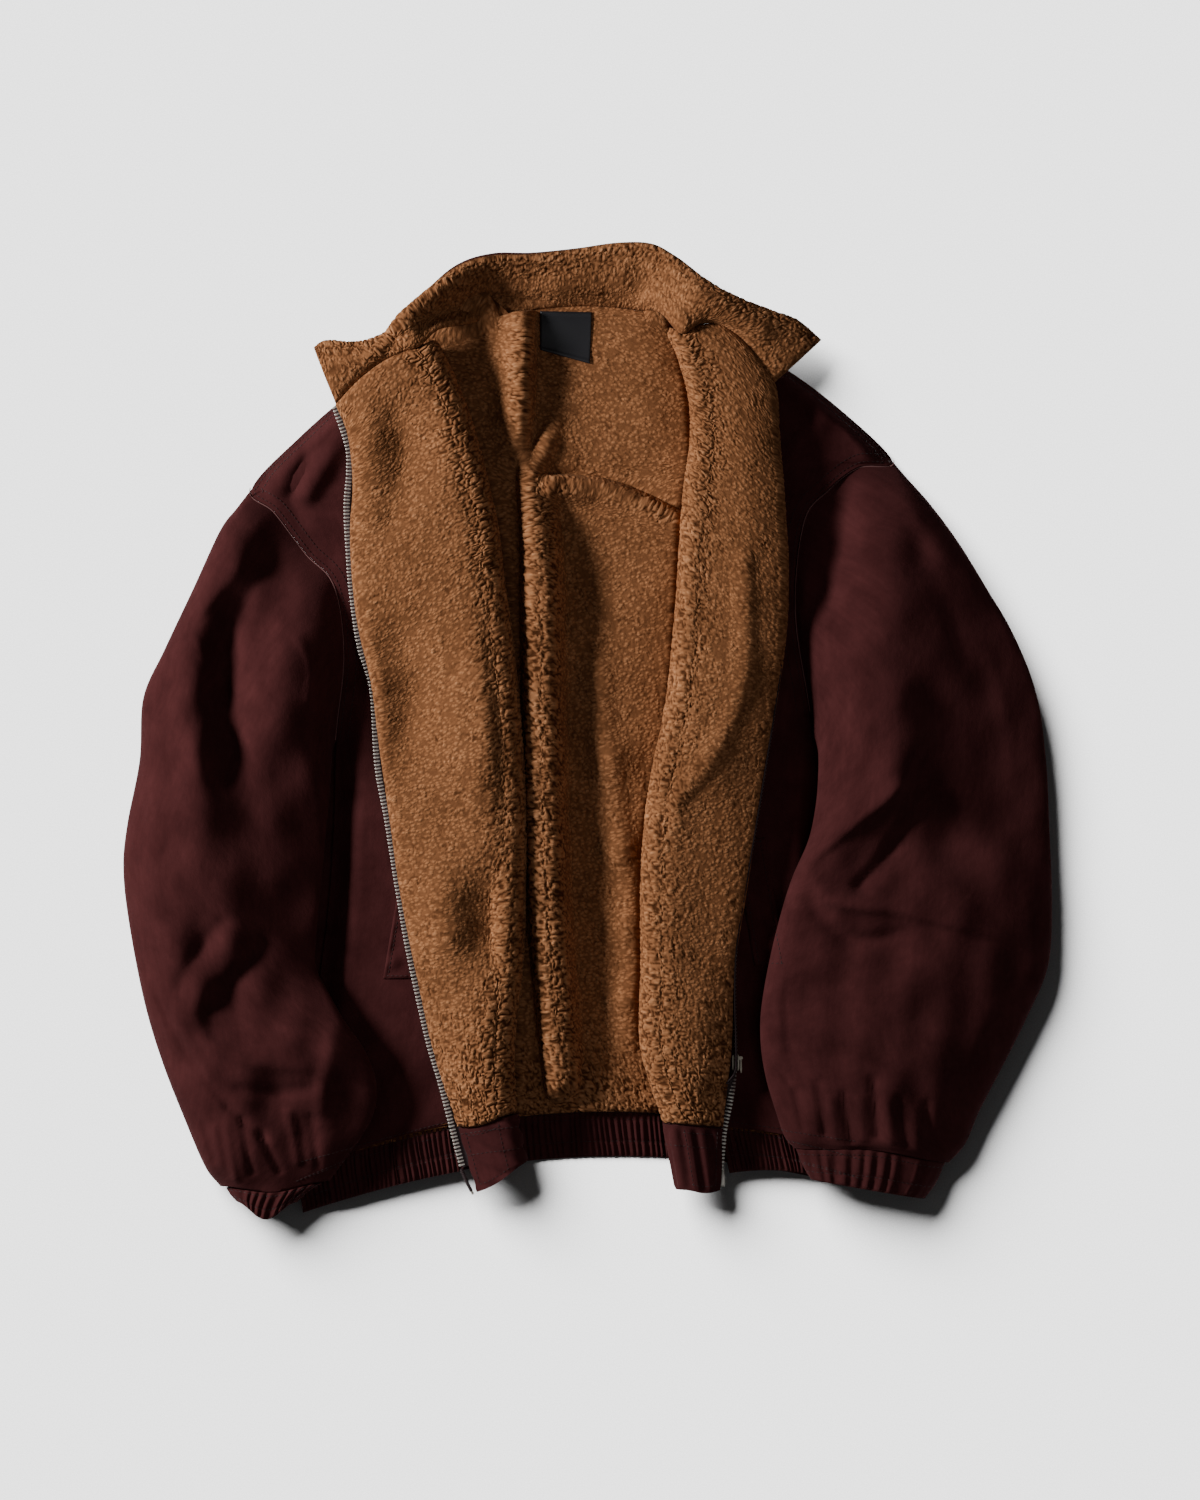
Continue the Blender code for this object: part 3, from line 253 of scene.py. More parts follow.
# %% [markdown]
# ## Folds
# A fold is a line on the cloth with a height and a width on each side: one steep side and one
# soft side reads as real cloth, equal sides read as a tube. Positive heights are ridges and
# negative ones troughs. Long soft waves of low height take away the machine-made flatness.

# %% Folds and waves
def fold_field(x, y, folds):
    """Height in metres of folds at plan points. A fold is a line in mm, a height in mm or some
    heights evenly along it, and the widths in mm of its right-hand and left-hand slopes as one
    walks along the line."""
    spots = np.stack([x, y], axis=-1).reshape(-1, 2) * 1000
    total = np.zeros(len(spots))
    for line, rise, right, left in folds:
        line = np.array(line, float)
        if len(line) > 2:
            line = track(line, np.linspace(0, len(line) - 1, 2 * len(line)))
        margin = 2.6 * max(right, left)
        near = np.all((spots > line.min(axis=0) - margin) & (spots < line.max(axis=0) + margin), axis=1)
        run = np.diff(line, axis=0)
        away = spots[near][:, None] - line[:-1]
        along = np.clip(np.sum(away * run, axis=2) / np.sum(run**2, axis=1), 0, 1)
        gap = away - along[..., None] * run
        reach = np.linalg.norm(gap, axis=2)
        nearest = np.argmin(reach, axis=1)
        pick = np.arange(len(nearest)), nearest
        distance, turn, gap = reach[pick], unit(run)[nearest], gap[pick]
        side = (turn[:, 0] * gap[:, 1] - turn[:, 1] * gap[:, 0]) / np.maximum(distance, 1e-6)
        width = 0.5 * (left + right) + 0.5 * (left - right) * side
        heights = np.atleast_1d(rise)
        share = (nearest + along[pick]) / len(run)
        height = np.interp(share, np.linspace(0, 1, len(heights)), heights)
        total[near] += height * bell(distance, width)
    return 0.001 * total.reshape(x.shape)


def drape(x, y, rows, calm=8.0):
    """A soft surface through spot heights; a row is y in mm and pairs of x in mm and height."""
    spots = np.array([(spot_x, row_y) for row_y, row in rows for spot_x, _ in row], float)
    heights = np.array([height for _, row in rows for _, height in row], float)
    level = heights.mean()

    def bond(points):
        gap = points[:, None] - spots[None]
        return np.sqrt(np.sum(gap**2, axis=2) + calm**2)

    weights = np.linalg.solve(bond(spots), heights - level)
    points = np.stack([x, y], axis=-1).reshape(-1, 2) * 1000
    return (level + bond(points) @ weights).reshape(np.shape(x))


def waves(u, v, length, seed, spread=0.3, count=40, lean=0.0, fan=np.pi):
    """An even random surface whose bumps are about `length` apart, with unit variance. A fan
    below pi makes the bumps long across the direction `lean`."""
    draw = np.random.default_rng(seed)
    turn = lean + draw.uniform(-fan, fan, count)
    pitch = 2 * np.pi / (length * draw.uniform(1 - spread, 1 + spread, count))
    shift = draw.uniform(0, 2 * np.pi, count)
    total = np.zeros(np.broadcast(u, v).shape)
    for a, k, p in zip(turn, pitch, shift):
        total += np.cos(k * (np.cos(a) * u + np.sin(a) * v) + p)
    return total * math.sqrt(2 / count)


# %% [markdown]
# ## Fleece pile
# The lining is a boa fleece: its pile curls into short worms two or three millimetres wide,
# with dark gaps between them. Particle hair would be slow and would be lost in the export, so
# the curls are part of the surface: slanting cells, rounded on top, with thin gaps between.
# A longer wave makes the pile denser here and looser there, and the finish adds finer grain.

# %% Curls of the pile
CURL = 0.0037  # width of one curl
CURL_HEIGHT = 0.0017
CURL_LENGTH = 1.35  # times its width
CELLS = 64  # the pattern of cells repeats after this many
DRIFT = 0.0011  # how far the curls wander off their even pattern
PILE_SEEDS = {"left": 10, "right": 20, "back": 40, "collar": 70}


def cells(u, v, size, seed):
    """1 on rounded cells about `size` wide, falling to 0 in the gaps between them."""
    jitter = np.random.default_rng(seed).uniform(-0.40, 0.40, (CELLS, CELLS, 2))
    x, y = u / size, v / size
    i, j = np.floor(x).astype(int), np.floor(y).astype(int)
    nearest = np.full(x.shape, 9.0)
    second = nearest.copy()
    for di in (-1, 0, 1):
        for dj in (-1, 0, 1):
            shift = jitter[(i + di) % CELLS, (j + dj) % CELLS]
            gap = np.hypot(i + di + 0.5 + shift[..., 0] - x, j + dj + 0.5 + shift[..., 1] - y)
            second = np.minimum(second, np.maximum(gap, nearest))
            nearest = np.minimum(nearest, gap)
    return smooth((second - nearest + 0.04) / 0.50)


def curls(place, bold, seed):
    """Pile height from 0 in the gaps to 1 on the curls; `bold` is 1 where the curls stand open."""
    u, v = place[..., 0], place[..., 1]
    u = u + DRIFT * waves(u, v, 0.009, seed + 1, count=14)
    v = v + DRIFT * waves(u, v, 0.009, seed + 2, count=14)
    along, across = 0.80 * u + 0.60 * v, 0.80 * v - 0.60 * u
    curl = cells(along / CURL_LENGTH, across, CURL, seed + 3)
    loose = waves(u, v, 0.022, seed + 4, spread=0.5, count=16)
    open_share = np.clip(bold + 0.13 * loose, 0.10, 1.0)
    return 0.5 + (curl - 0.55) * open_share


# %% [markdown]
# ## A front, folded outwards
# Each front leaves its side seam, lies on the back, rolls over in a soft fold and comes back
# on itself to the zip. One surface between canvas and lining describes all of it; the canvas
# is offset to one side of it and the fleece to the other, as the maker bagged them out.

# %% The surface between canvas and lining
CANVAS = 0.0020  # walls of the two cloths
FLEECE = 0.0060
LAYER = 0.0003  # room between two layers
BACK_FLEECE_LOW = CANVAS + LAYER
# Heights of the surface at the side seam, laid on the back's fleece, and on top of its roll
SIDE_HEIGHT = 0.00225
LAID_HEIGHT = 0.0155
ROLL_RADIUS = 0.01025
CREST_HEIGHT = LAID_HEIGHT + 2 * ROLL_RADIUS
FOLD_INSET = 0.0063  # the surface stays this far inside the fold line that the camera sees
SIDE_RAMP = 0.026  # width of the rise at the side seam
LINING_INSET = 0.025  # the back's lining ends this far inside the side seams, out of sight
ZIP_EDGE_HEIGHT = {"left": 0.0245, "right": 0.0270}
CREST_SHAPE = {"left": 1.8, "right": 2.6}

# Soft folds of the turned fronts, and of the canvas below the shoulders
FLAP_FOLDS = {
    "left": [
        ([(-94, 71), (-81, 7), (-87, -57)], 1.5, 9, 12),
    ],
    "right": [
        ([(126, 135), (127, 71), (124, 31), (95, -30), (55, -70)], 2.4, 9, 6),
    ],
}
FLAP_SHAPE = {
    "left": [
        (271, [(-190, 0), (-150, 0), (-118, 1), (-100, 2)]),
        (251, [(-192, 1), (-176, 3), (-152, -4), (-130, -2), (-112, 1), (-98, 2)]),
        (227, [(-190, 1), (-176, 5), (-148, -6), (-126, -3), (-110, 1), (-97, 2)]),
        (203, [(-189, 1), (-175, 4), (-148, -5), (-128, -2), (-110, 1), (-94, 2)]),
        (171, [(-188, 1), (-172, 2), (-156, -2), (-138, 0), (-113, 1), (-90, 2)]),
        (127, [(-183, 1.5), (-162, 1), (-135, 0), (-108, 1), (-79, 2)]),
        (71, [(-178, 3), (-148, -4), (-120, -1), (-82, 2)]),
        (31, [(-172, 4.5), (-142, -7), (-118, -3), (-100, 2), (-79, 3)]),
        (-1, [(-166, 2.5), (-145, -5), (-122, -2), (-100, 3), (-76, 4)]),
        (-33, [(-159, 0), (-142, -1), (-118, 1), (-92, 4), (-70, 3)]),
        (-73, [(-151, 1), (-118, 0), (-90, 2), (-66, 2)]),
        (-105, [(-148, 2), (-121, 3), (-94, 2), (-70, 0)]),
        (-137, [(-140, 2), (-114, 7), (-88, -4), (-72, -6), (-60, -3)]),
        (-165, [(-132, 3), (-110, 7), (-84, -6), (-70, -7), (-60, -4)]),
        (-205, [(-121, 1), (-100, 2), (-78, 1), (-62, 0)]),
        (-257, [(-108, 1), (-86, 3), (-70, 2)]),
        (-297, [(-100, 0), (-76, 1)]),
    ],
    "right": [
        (263, [(90, -1), (110, 1), (137, 3)]),
        (223, [(90, -2), (111, 1), (132, 4), (146, 4)]),
        (167, [(86, -1), (111, 1), (132, 4), (146, 4)]),
        (103, [(82, -1), (106, 1), (127, 4), (146, 4)]),
        (39, [(76, -1), (98, 2), (121, 4), (140, 2)]),
        (-26, [(62, 0), (81, 2), (100, 3), (119, 0), (135, -1)]),
        (-73, [(54, 2), (68, 2), (87, -1), (108, -1), (126, -1)]),
        (-137, [(50, 1), (71, 1), (94, -1), (114, 1)]),
        (-185, [(50, 1), (68, 1), (89, -1), (108, 0)]),
        (-241, [(50, 1), (70, 2), (87, 2), (108, -1)]),
        (-289, [(58, 0), (82, 2), (102, -2)]),
    ],
}
SHOULDER_FOLDS = {
    "left": [
        ([(-196, 236), (-209, 214), (-225, 188)], (1, 4, 6, 6), 7, 7),
        ([(-225, 222), (-234, 193)], -4, 6, 6),
        ([(-238, 183), (-230, 151)], -4, 10, 10),
    ],
    "right": [
        ([(164, 223), (188, 247)], 3, 8, 8),
        ([(162, 179), (180, 175)], 3, 8, 8),
    ],
}


def armhole_share(at):
    return np.clip((np.asarray(at, float) - SHOULDER_ROW) / (UNDERARM_ROW - SHOULDER_ROW), 0, 1)


def front_surface(side, at, ramp, laid, roll, turned, inset=FOLD_INSET, folds=()):
    """Shares of the four stretches from side seam to zip: ramp, laid, roll and turned."""
    seam, fold, zip_edge, laid_bow, turned_bow = row_points(side, np.asarray(at, float))
    inward = unit(fold - seam)
    outward = unit(fold - zip_edge)
    reach = np.linalg.norm(fold - seam, axis=-1)
    flat = reach - ROLL_RADIUS - inset
    ramp_width = np.minimum(SIDE_RAMP, 0.6 * flat)
    edge_height = SIDE_HEIGHT + (LAID_HEIGHT - SIDE_HEIGHT) * arch(armhole_share(at))
    up = np.array([0.0, 1.0])
    columns = []
    for share in list(ramp) + [1 + f for f in laid]:
        rising = min(share, 1.0)
        distance = ramp_width * rising + (flat - ramp_width) * max(share - 1.0, 0.0)
        height = edge_height + (LAID_HEIGHT - edge_height) * smooth(rising)
        s = distance / reach
        plan = seam + inward * distance[:, None] + up * bow_at(laid_bow, s)[:, None]
        height = height + fold_field(plan[:, 0], plan[:, 1], SHOULDER_FOLDS[side]) * smooth(rising)
        columns.append(np.column_stack([plan, height]))
    for share in roll:
        angle = math.pi * (share - 0.5)
        way = unit(inward * (1 - share) + outward * share)
        back = inset + ROLL_RADIUS * (1 - math.cos(angle))
        plan = fold - way * back
        height = np.full(len(plan), LAID_HEIGHT + ROLL_RADIUS * (1 + math.sin(angle)))
        columns.append(np.column_stack([plan, height]))
    start = fold - outward * (inset + ROLL_RADIUS)
    for share in turned:
        plan = start + (zip_edge - start) * share
        plan = plan + up * bow_at(turned_bow, share)[:, None]
        fall = share ** CREST_SHAPE[side]
        height = CREST_HEIGHT + (ZIP_EDGE_HEIGHT[side] - CREST_HEIGHT) * fall
        soft = fold_field(plan[:, 0], plan[:, 1], folds)
        if folds:
            soft = soft + 0.001 * drape(plan[:, 0], plan[:, 1], FLAP_SHAPE[side])
        soft = soft * smooth(share / 0.15)
        height = height + soft * float(smooth((1.0 - share) / 0.10))
        columns.append(np.column_stack([plan, height]))
    return np.stack(columns, axis=1)


def lining_way(side, surface):
    """Unit normals of a front, pointing to its lining side."""
    down = np.gradient(surface, axis=0)
    across = np.gradient(surface, axis=1)
    normals = np.cross(across, down) * TURN[side]
    for r in (0, -1):
        along = np.gradient(surface[r, :, :2], axis=0)
        turning = np.linalg.norm(along, axis=1) < 0.0003
        along[turning] = surface[r, -1, :2] - surface[r, turning, :2]
        along = unit(along)
        normals[r, :, :2] = along * np.sum(normals[r, :, :2] * along, axis=1)[:, None]
    normals[:, 0, :2] = 0.0
    return unit(normals)


def rounded_edge(distance, width=0.007, low=0.35):
    """Share of the pile's thickness this far from a sewn edge: it rounds down to the seam."""
    t = np.clip(distance / width, 0, 1)
    return low + (1 - low) * np.sqrt(1 - (1 - t) ** 2)


def spread(first, last, step, length):
    """Even values from first to last, for points a step apart over this length."""
    return np.linspace(first, last, max(2, int(round(length / step)) + 1))


def away_from(surface, line):
    """Each point's distance from the point of an edge line in its row or column."""
    return np.linalg.norm(surface - line, axis=2)


def lifted(surface, way, height):
    """The surface moved along its normals."""
    return surface + way * np.asarray(height)[..., None]


def pile_depth(edge, pile, slack, shown=1):
    """Thickness of the fleece with its curls: less `slack` at full height, thin at its edges."""
    return (FLEECE - slack) * edge + CURL_HEIGHT * (pile - 0.5) * shown * np.minimum(1, edge * 1.3)


# %% Canvas and fleece of both fronts
PILE_STEP = 0.00112  # between points of the visible pile
CANVAS_STEP = 0.0031
BODY_LENGTH = 0.64
FLAP_WIDTH = {"left": 0.098, "right": 0.080}
ROLL_LENGTH = 0.048
CANVAS_END = HEM_ROW + 0.045  # the canvas runs on just below the hem band
COARSE = {
    "ramp": (0, 0.25, 0.5, 0.75, 1),
    "laid": (0.25, 0.5, 0.75, 0.95),
    "roll": np.linspace(0, 1, 7)[1:-1],
    "turned": (0, 0.2, 0.4, 0.6, 0.8, 1),
}


def make_front_fleece(side):
    rows = spread(0, HEM_ROW, PILE_STEP, BODY_LENGTH)
    fine = {
        "ramp": (1,),
        "laid": (0.3, 0.6, 0.9),
        "roll": spread(0, 1, PILE_STEP, ROLL_LENGTH)[1:-1],
        "turned": spread(0, 1, PILE_STEP, FLAP_WIDTH[side]),
    }
    surface = front_surface(side, rows, **fine, folds=FLAP_FOLDS[side])
    way = lining_way(side, surface)
    place = flat_place(surface)
    to_crest = away_from(surface, surface[:, -len(fine["turned"])][:, None])
    to_zip = away_from(surface, surface[:, -1:])
    to_neck = away_from(surface, surface[:1])
    to_hem = away_from(surface, surface[-1:])
    edge = rounded_edge(np.minimum(np.minimum(to_zip, to_neck), to_hem))
    bold = 0.22 + 0.60 * bell(to_crest, 0.016) + 0.65 * bell(to_hem, 0.075)
    bold = bold + 0.20 * bell(to_zip, 0.010)
    pile = curls(place, bold, PILE_SEEDS[side])
    hidden = len(fine["ramp"]) + len(fine["laid"])
    shown = np.zeros(surface.shape[1])
    shown[hidden:] = 1
    outer = lifted(surface, way, LAYER / 2 + pile_depth(edge, pile, 0.0008, shown))
    coarse = COARSE | {"ramp": (1,)}
    base = front_surface(side, np.linspace(0, HEM_ROW, 60), **coarse, folds=FLAP_FOLDS[side])
    inner = base + lining_way(side, base) * LAYER / 2
    nodes = [f"front_lining_{side}"]
    return cloth(f"fleece_front_{side}", outer, inner, nodes, place, pile)


def make_front_canvas(side):
    rows = spread(0, CANVAS_END, CANVAS_STEP, BODY_LENGTH)
    fine = {
        "ramp": np.linspace(0, 1, 12),
        "laid": np.linspace(0, 0.95, 42)[1:],
        "roll": np.linspace(0, 1, 10)[1:-1],
        "turned": np.linspace(0, 1, 24),
    }
    surface = front_surface(side, rows, **fine, folds=FLAP_FOLDS[side])
    way = lining_way(side, surface)
    place = flat_place(surface)
    soft = 0.0003 * waves(place[..., 0], place[..., 1], 0.045, 31, spread=0.5)
    base = front_surface(side, np.linspace(0, CANVAS_END, 60), **COARSE, folds=FLAP_FOLDS[side])
    outer = lifted(surface, -way, LAYER / 2 + CANVAS + np.clip(soft, -0.0004, 0.0006))
    inner = base - lining_way(side, base) * LAYER / 2
    nodes = [f"front_shell_{side}"]
    return cloth(f"canvas_front_{side}", outer, inner, nodes, place)


fleece_pieces = [make_front_fleece(side) for side in SIDES]
canvas_pieces = [make_front_canvas(side) for side in SIDES]

# %% [markdown]
# ## The back
# The back lies under everything. Its fleece shows between the two fronts, pushed up into long
# folds that run from the collar to the hem, with one short fold across below the neck. The
# canvas below it rests flat on the surface.

# %% Folds of the back's lining
BACK_SHAPE = [
    (327, [(-86, 2), (-70, 5), (-57, 6), (-42, 1), (-22, 1), (10, 2), (42, 5), (66, 3)]),
    (295, [(-86, 1), (-70, 5), (-57, 6), (-41, 0), (-22, 0), (9, 2), (34, 4), (55, 6), (74, 3)]),
    (255, [(-79, 2), (-60, 6), (-42, 1), (-26, 1), (2, 1), (30, 4), (54, 6), (71, 4)]),
    (223, [(-70, 3), (-58, 5), (-41, 2), (-22, 3), (10, 2), (42, 4), (71, 4)]),
    (204, [(-62, 4), (-46, 3), (-25, 2), (2, 0), (34, 1), (58, 3), (74, 4)]),
    (183, [(-50, 4), (-34, 5), (-5, 4), (24, 5), (47, 6), (70, 7)]),
    (151, [(-49, 4), (-25, 5), (2, 4), (34, 6), (65, 8)]),
    (103, [(-49, 4), (-28, 6), (-6, 1), (18, 4), (42, 6), (65, 6)]),
    (39, [(-49, 4), (-28, 6), (-6, 0), (15, 5), (39, 4), (58, 3)]),
    (-25, [(-47, 4), (-26, 6), (-1, 0), (20, 7), (38, 4), (46, 2)]),
    (-97, [(-46, 4), (-23, 6), (4, 0), (28, 7), (42, 3)]),
    (-161, [(-44, 4), (-20, 6), (7, 0), (33, 7), (44, 3)]),
    (-217, [(-41, 4), (-15, 5), (10, 0), (33, 6), (42, 2)]),
    (-257, [(-38, 5), (-12, 6), (15, 3), (38, 3)]),
    (-289, [(-34, 4), (-20, 5), (-8, 3), (2, 5), (26, 4), (42, 2)]),
]
BACK_FOLDS = [
    ([(-50, 343), (-51, 295), (-52, 255), (-54, 219)], (7, 12, 15, 15, 14, 10, 4), 13, 4.5),
    ([(-25, 247), (-34, 227), (-43, 203)], (2, 8, 4), 5, 7),
    ([(79, 164), (47, 179), (17, 191), (-8, 194), (-28, 196), (-42, 198)], (9, 9, 10, 13, 14, 3), 4.2, 9),
    ([(-49, 216), (-47, 190), (-44, 151), (-44, 103), (-43, 23), (-41, -97), (-35, -193), (-25, -287)],
     (6, 13, 17, 17, 17, 17, 16, 13), 4.2, 9),
    ([(-33, 188), (-33, 160), (-32, 134), (-31, 103), (-30, 23), (-28, -97), (-22, -193), (-14, -281)],
     (5, 12, 16, 17, 17, 17, 15, 11), 9, 7),
    ([(78, 172), (47, 187), (20, 198), (-6, 204), (-28, 201)], -5, 4, 3),
    ([(9, 47), (18, -25), (30, -105), (37, -177), (33, -249)], 2.5, 9, 8),
    ([(-7, -271), (-8, -306)], -6, 3, 3),
]


HIDDEN_COLUMNS = 3  # on each side of the lining, below the fronts


def back_lining_grid(at, shown_step):
    shares = []
    count = max(15, int(0.20 / shown_step))
    for row in at:
        left = track(FRONT_ROWS["left"], row)
        right = track(FRONT_ROWS["right"], row)
        span = right[0] - left[0]
        low = LINING_INSET / span
        first = max((left[2] - 0.012 - left[0]) / span, low + 0.02)
        last = min((right[2] + 0.012 - left[0]) / span, 0.98 - low)
        shown = np.linspace(first, last, count)
        below_left = np.linspace(low, first, HIDDEN_COLUMNS + 1)[:-1]
        below_right = np.linspace(last, 1 - low, HIDDEN_COLUMNS + 1)[1:]
        shares.append(np.concatenate([below_left, shown, below_right]))
    shares = np.array(shares)
    grid_at = np.broadcast_to(np.asarray(at)[:, None], shares.shape)
    return grid_at, back_plan(grid_at, shares)


def back_relief(at, plan):
    left = track(FRONT_ROWS["left"], at)[..., 2]
    right = track(FRONT_ROWS["right"], at)[..., 2]
    room = smooth((plan[..., 0] - left + 0.0016) / 0.0056)
    room = room * smooth((right + 0.0016 - plan[..., 0]) / 0.0056)
    shape = 0.001 * drape(plan[..., 0], plan[..., 1], BACK_SHAPE, 5.0)
    return np.maximum(0, shape + fold_field(plan[..., 0], plan[..., 1], BACK_FOLDS)) * room


# %% Fleece and canvas of the back
BACK_PILE_STEP = 0.00133


def under_collar(plan, grid_at):
    """Near its neck edge the lining runs on upwards wherever the collar stands clear of it."""
    x = plan[..., 0] * 1000
    clear = smooth((x + 150) / 18) * smooth((-68 - x) / 14)
    clear = clear + 0.6 * smooth((x - 46) / 10) * smooth((92 - x) / 10)
    lead = smooth(1 - grid_at / 0.5) * clear
    return np.stack([0 * x, 0.024 * lead, 0.007 * lead], axis=-1)


def make_back_fleece():
    rows = spread(0, HEM_ROW, BACK_PILE_STEP, BODY_LENGTH)
    grid_at, plan = back_lining_grid(rows, BACK_PILE_STEP)
    rise = back_relief(grid_at, plan)
    surface = np.dstack([plan, BACK_FLEECE_LOW + rise]) + under_collar(plan, grid_at)
    place = flat_place(surface)
    down = np.gradient(surface, axis=0)
    across = np.gradient(surface, axis=1)
    way = unit(np.cross(down, across))
    way[[0, -1], :, :2] = 0.0
    way = unit(way)
    to_neck = away_from(surface, surface[:1])
    to_hem = away_from(surface, surface[-1:])
    edge = rounded_edge(np.minimum(to_neck, to_hem))
    shown = np.ones(surface.shape[1])
    shown[:HIDDEN_COLUMNS] = shown[-HIDDEN_COLUMNS:] = 0
    bold = 0.20 + smooth((rise - 0.010) / 0.012) + 0.7 * bell(to_hem, 0.05)
    pile = curls(place, np.clip(bold, 0, 1), PILE_SEEDS["back"])
    outer = lifted(surface, way, pile_depth(edge, pile, 0.0006, shown))
    outer[..., 2] = np.maximum(outer[..., 2], BACK_FLEECE_LOW + 0.0005)
    at, low_plan = back_lining_grid(np.linspace(0, HEM_ROW, 70), 0.008)
    inner = np.dstack([low_plan, BACK_FLEECE_LOW + back_relief(at, low_plan)])
    inner = inner + under_collar(low_plan, at)
    return cloth("fleece_back", outer, inner, ["back_lining"], place, pile)


def wide_back(at, s):
    """The back's plan with its side seams let out a little below the armholes."""
    out = np.where(s > 0.5, 0.050, 0.034) * smooth((at - 7.95) / 0.25) * smooth((12.95 - at) / 0.4)
    return back_plan(at, s + out * (2 * s - 1) ** 5)


def make_back_canvas():
    at, along = mesh_rows(120, 90)
    plan = wide_back(HEM_ROW * at, along)
    under = np.dstack([plan, np.zeros(at.shape)])
    at, along = mesh_rows(40, 30)
    over = np.dstack([wide_back(HEM_ROW * at, along), np.full(at.shape, CANVAS)])
    return cloth("canvas_back", under, over, ["back_shell"])


fleece_pieces.append(make_back_fleece())
canvas_pieces.append(make_back_canvas())

# %% [markdown]
# ## Sleeves
# The sleeves are very full, set into a dropped armhole and gathered into narrow cuffs, so they
# stand up like soft balloons. Each is a tube of rings from the armhole to the cuff, its top
# crowned and its underside flat where it rests on the surface or on the body.

# %% Rings of the sleeves
# outer_x, outer_y, inner_x, inner_y, bow, crown height, outer rim height, inner rim height
SLEEVE_RINGS = {
    "left": [
        (-0.281, 0.177, -0.2042, -0.0170, 0.000, 0.032, 0.008, 0.006),
        (-0.294, 0.159, -0.205, -0.034, 0.000, 0.044, 0.014, 0.012),
        (-0.315, 0.113, -0.207, -0.062, 0.000, 0.052, 0.018, 0.018),
        (-0.338, 0.064, -0.210, -0.094, 0.000, 0.055, 0.020, 0.022),
        (-0.355, 0.025, -0.213, -0.127, 0.000, 0.056, 0.022, 0.024),
        (-0.358, -0.025, -0.216, -0.159, 0.000, 0.057, 0.022, 0.025),
        (-0.368, -0.077, -0.217, -0.189, 0.000, 0.058, 0.022, 0.026),
        (-0.371, -0.113, -0.207, -0.210, 0.000, 0.058, 0.022, 0.028),
        (-0.366, -0.158, -0.194, -0.233, 0.000, 0.058, 0.022, 0.030),
        (-0.354, -0.219, -0.177, -0.258, 0.000, 0.058, 0.022, 0.031),
        (-0.340, -0.266, -0.168, -0.286, 0.000, 0.057, 0.021, 0.031),
        (-0.323, -0.310, -0.172, -0.311, 0.000, 0.054, 0.019, 0.030),
        (-0.306, -0.350, -0.188, -0.337, 0.000, 0.047, 0.016, 0.029),
        (-0.294, -0.366, -0.206, -0.361, -0.006, 0.037, 0.013, 0.027),
    ],
    "right": [
        (0.255, 0.203, 0.181, 0.006, 0.000, 0.030, 0.008, 0.006),
        (0.275, 0.180, 0.182, -0.005, 0.000, 0.042, 0.014, 0.012),
        (0.297, 0.150, 0.185, -0.018, 0.000, 0.050, 0.018, 0.018),
        (0.319, 0.114, 0.185, -0.037, 0.000, 0.054, 0.020, 0.022),
        (0.341, 0.076, 0.183, -0.061, 0.000, 0.056, 0.022, 0.025),
        (0.359, 0.030, 0.177, -0.089, 0.000, 0.058, 0.022, 0.028),
        (0.367, -0.022, 0.164, -0.119, 0.000, 0.059, 0.022, 0.030),
        (0.370, -0.082, 0.154, -0.151, 0.000, 0.060, 0.022, 0.031),
        (0.372, -0.137, 0.145, -0.189, 0.000, 0.060, 0.022, 0.031),
        (0.369, -0.189, 0.139, -0.226, 0.000, 0.059, 0.021, 0.031),
        (0.351, -0.233, 0.139, -0.254, 0.000, 0.058, 0.020, 0.031),
        (0.331, -0.273, 0.143, -0.279, 0.000, 0.056, 0.019, 0.031),
        (0.314, -0.306, 0.150, -0.303, 0.000, 0.052, 0.017, 0.030),
        (0.303, -0.332, 0.158, -0.326, 0.000, 0.047, 0.015, 0.029),
        (0.290, -0.347, 0.166, -0.335, 0.005, 0.042, 0.013, 0.028),
    ],
}
CUFF_RINGS = {
    "left": [
        (-0.289, -0.3675, -0.212, -0.3631, -0.0050, 0.035, 0.012, 0.026),
        (-0.286, -0.3730, -0.223, -0.3700, -0.010, 0.034, 0.011, 0.025),
        (-0.281, -0.3785, -0.232, -0.3785, -0.0135, 0.032, 0.010, 0.022),
    ],
    "right": [
        (0.287, -0.3471, 0.167, -0.3355, 0.005, 0.040, 0.012, 0.027),
        (0.280, -0.363, 0.173, -0.350, 0.003, 0.041, 0.012, 0.027),
        (0.271, -0.376, 0.179, -0.360, 0.000, 0.040, 0.011, 0.027),
    ],
}
ARMHOLE_CURVE_KEPT = (1.0, 0.75, 0.40, 0.12, 0.0, 0.0)  # by ring: the first ones follow the armhole
RIM = 0.0022  # least half thickness of a sleeve at its edges
ARMHOLE_CROWN = LAID_HEIGHT + CANVAS + LAYER / 2
BODY_CLEARANCE = 0.0210  # height of the sleeve's underside where it lies on the body
LIFT_REACH = 0.022
SEAM = 0.0004  # gap between two pieces at a seam
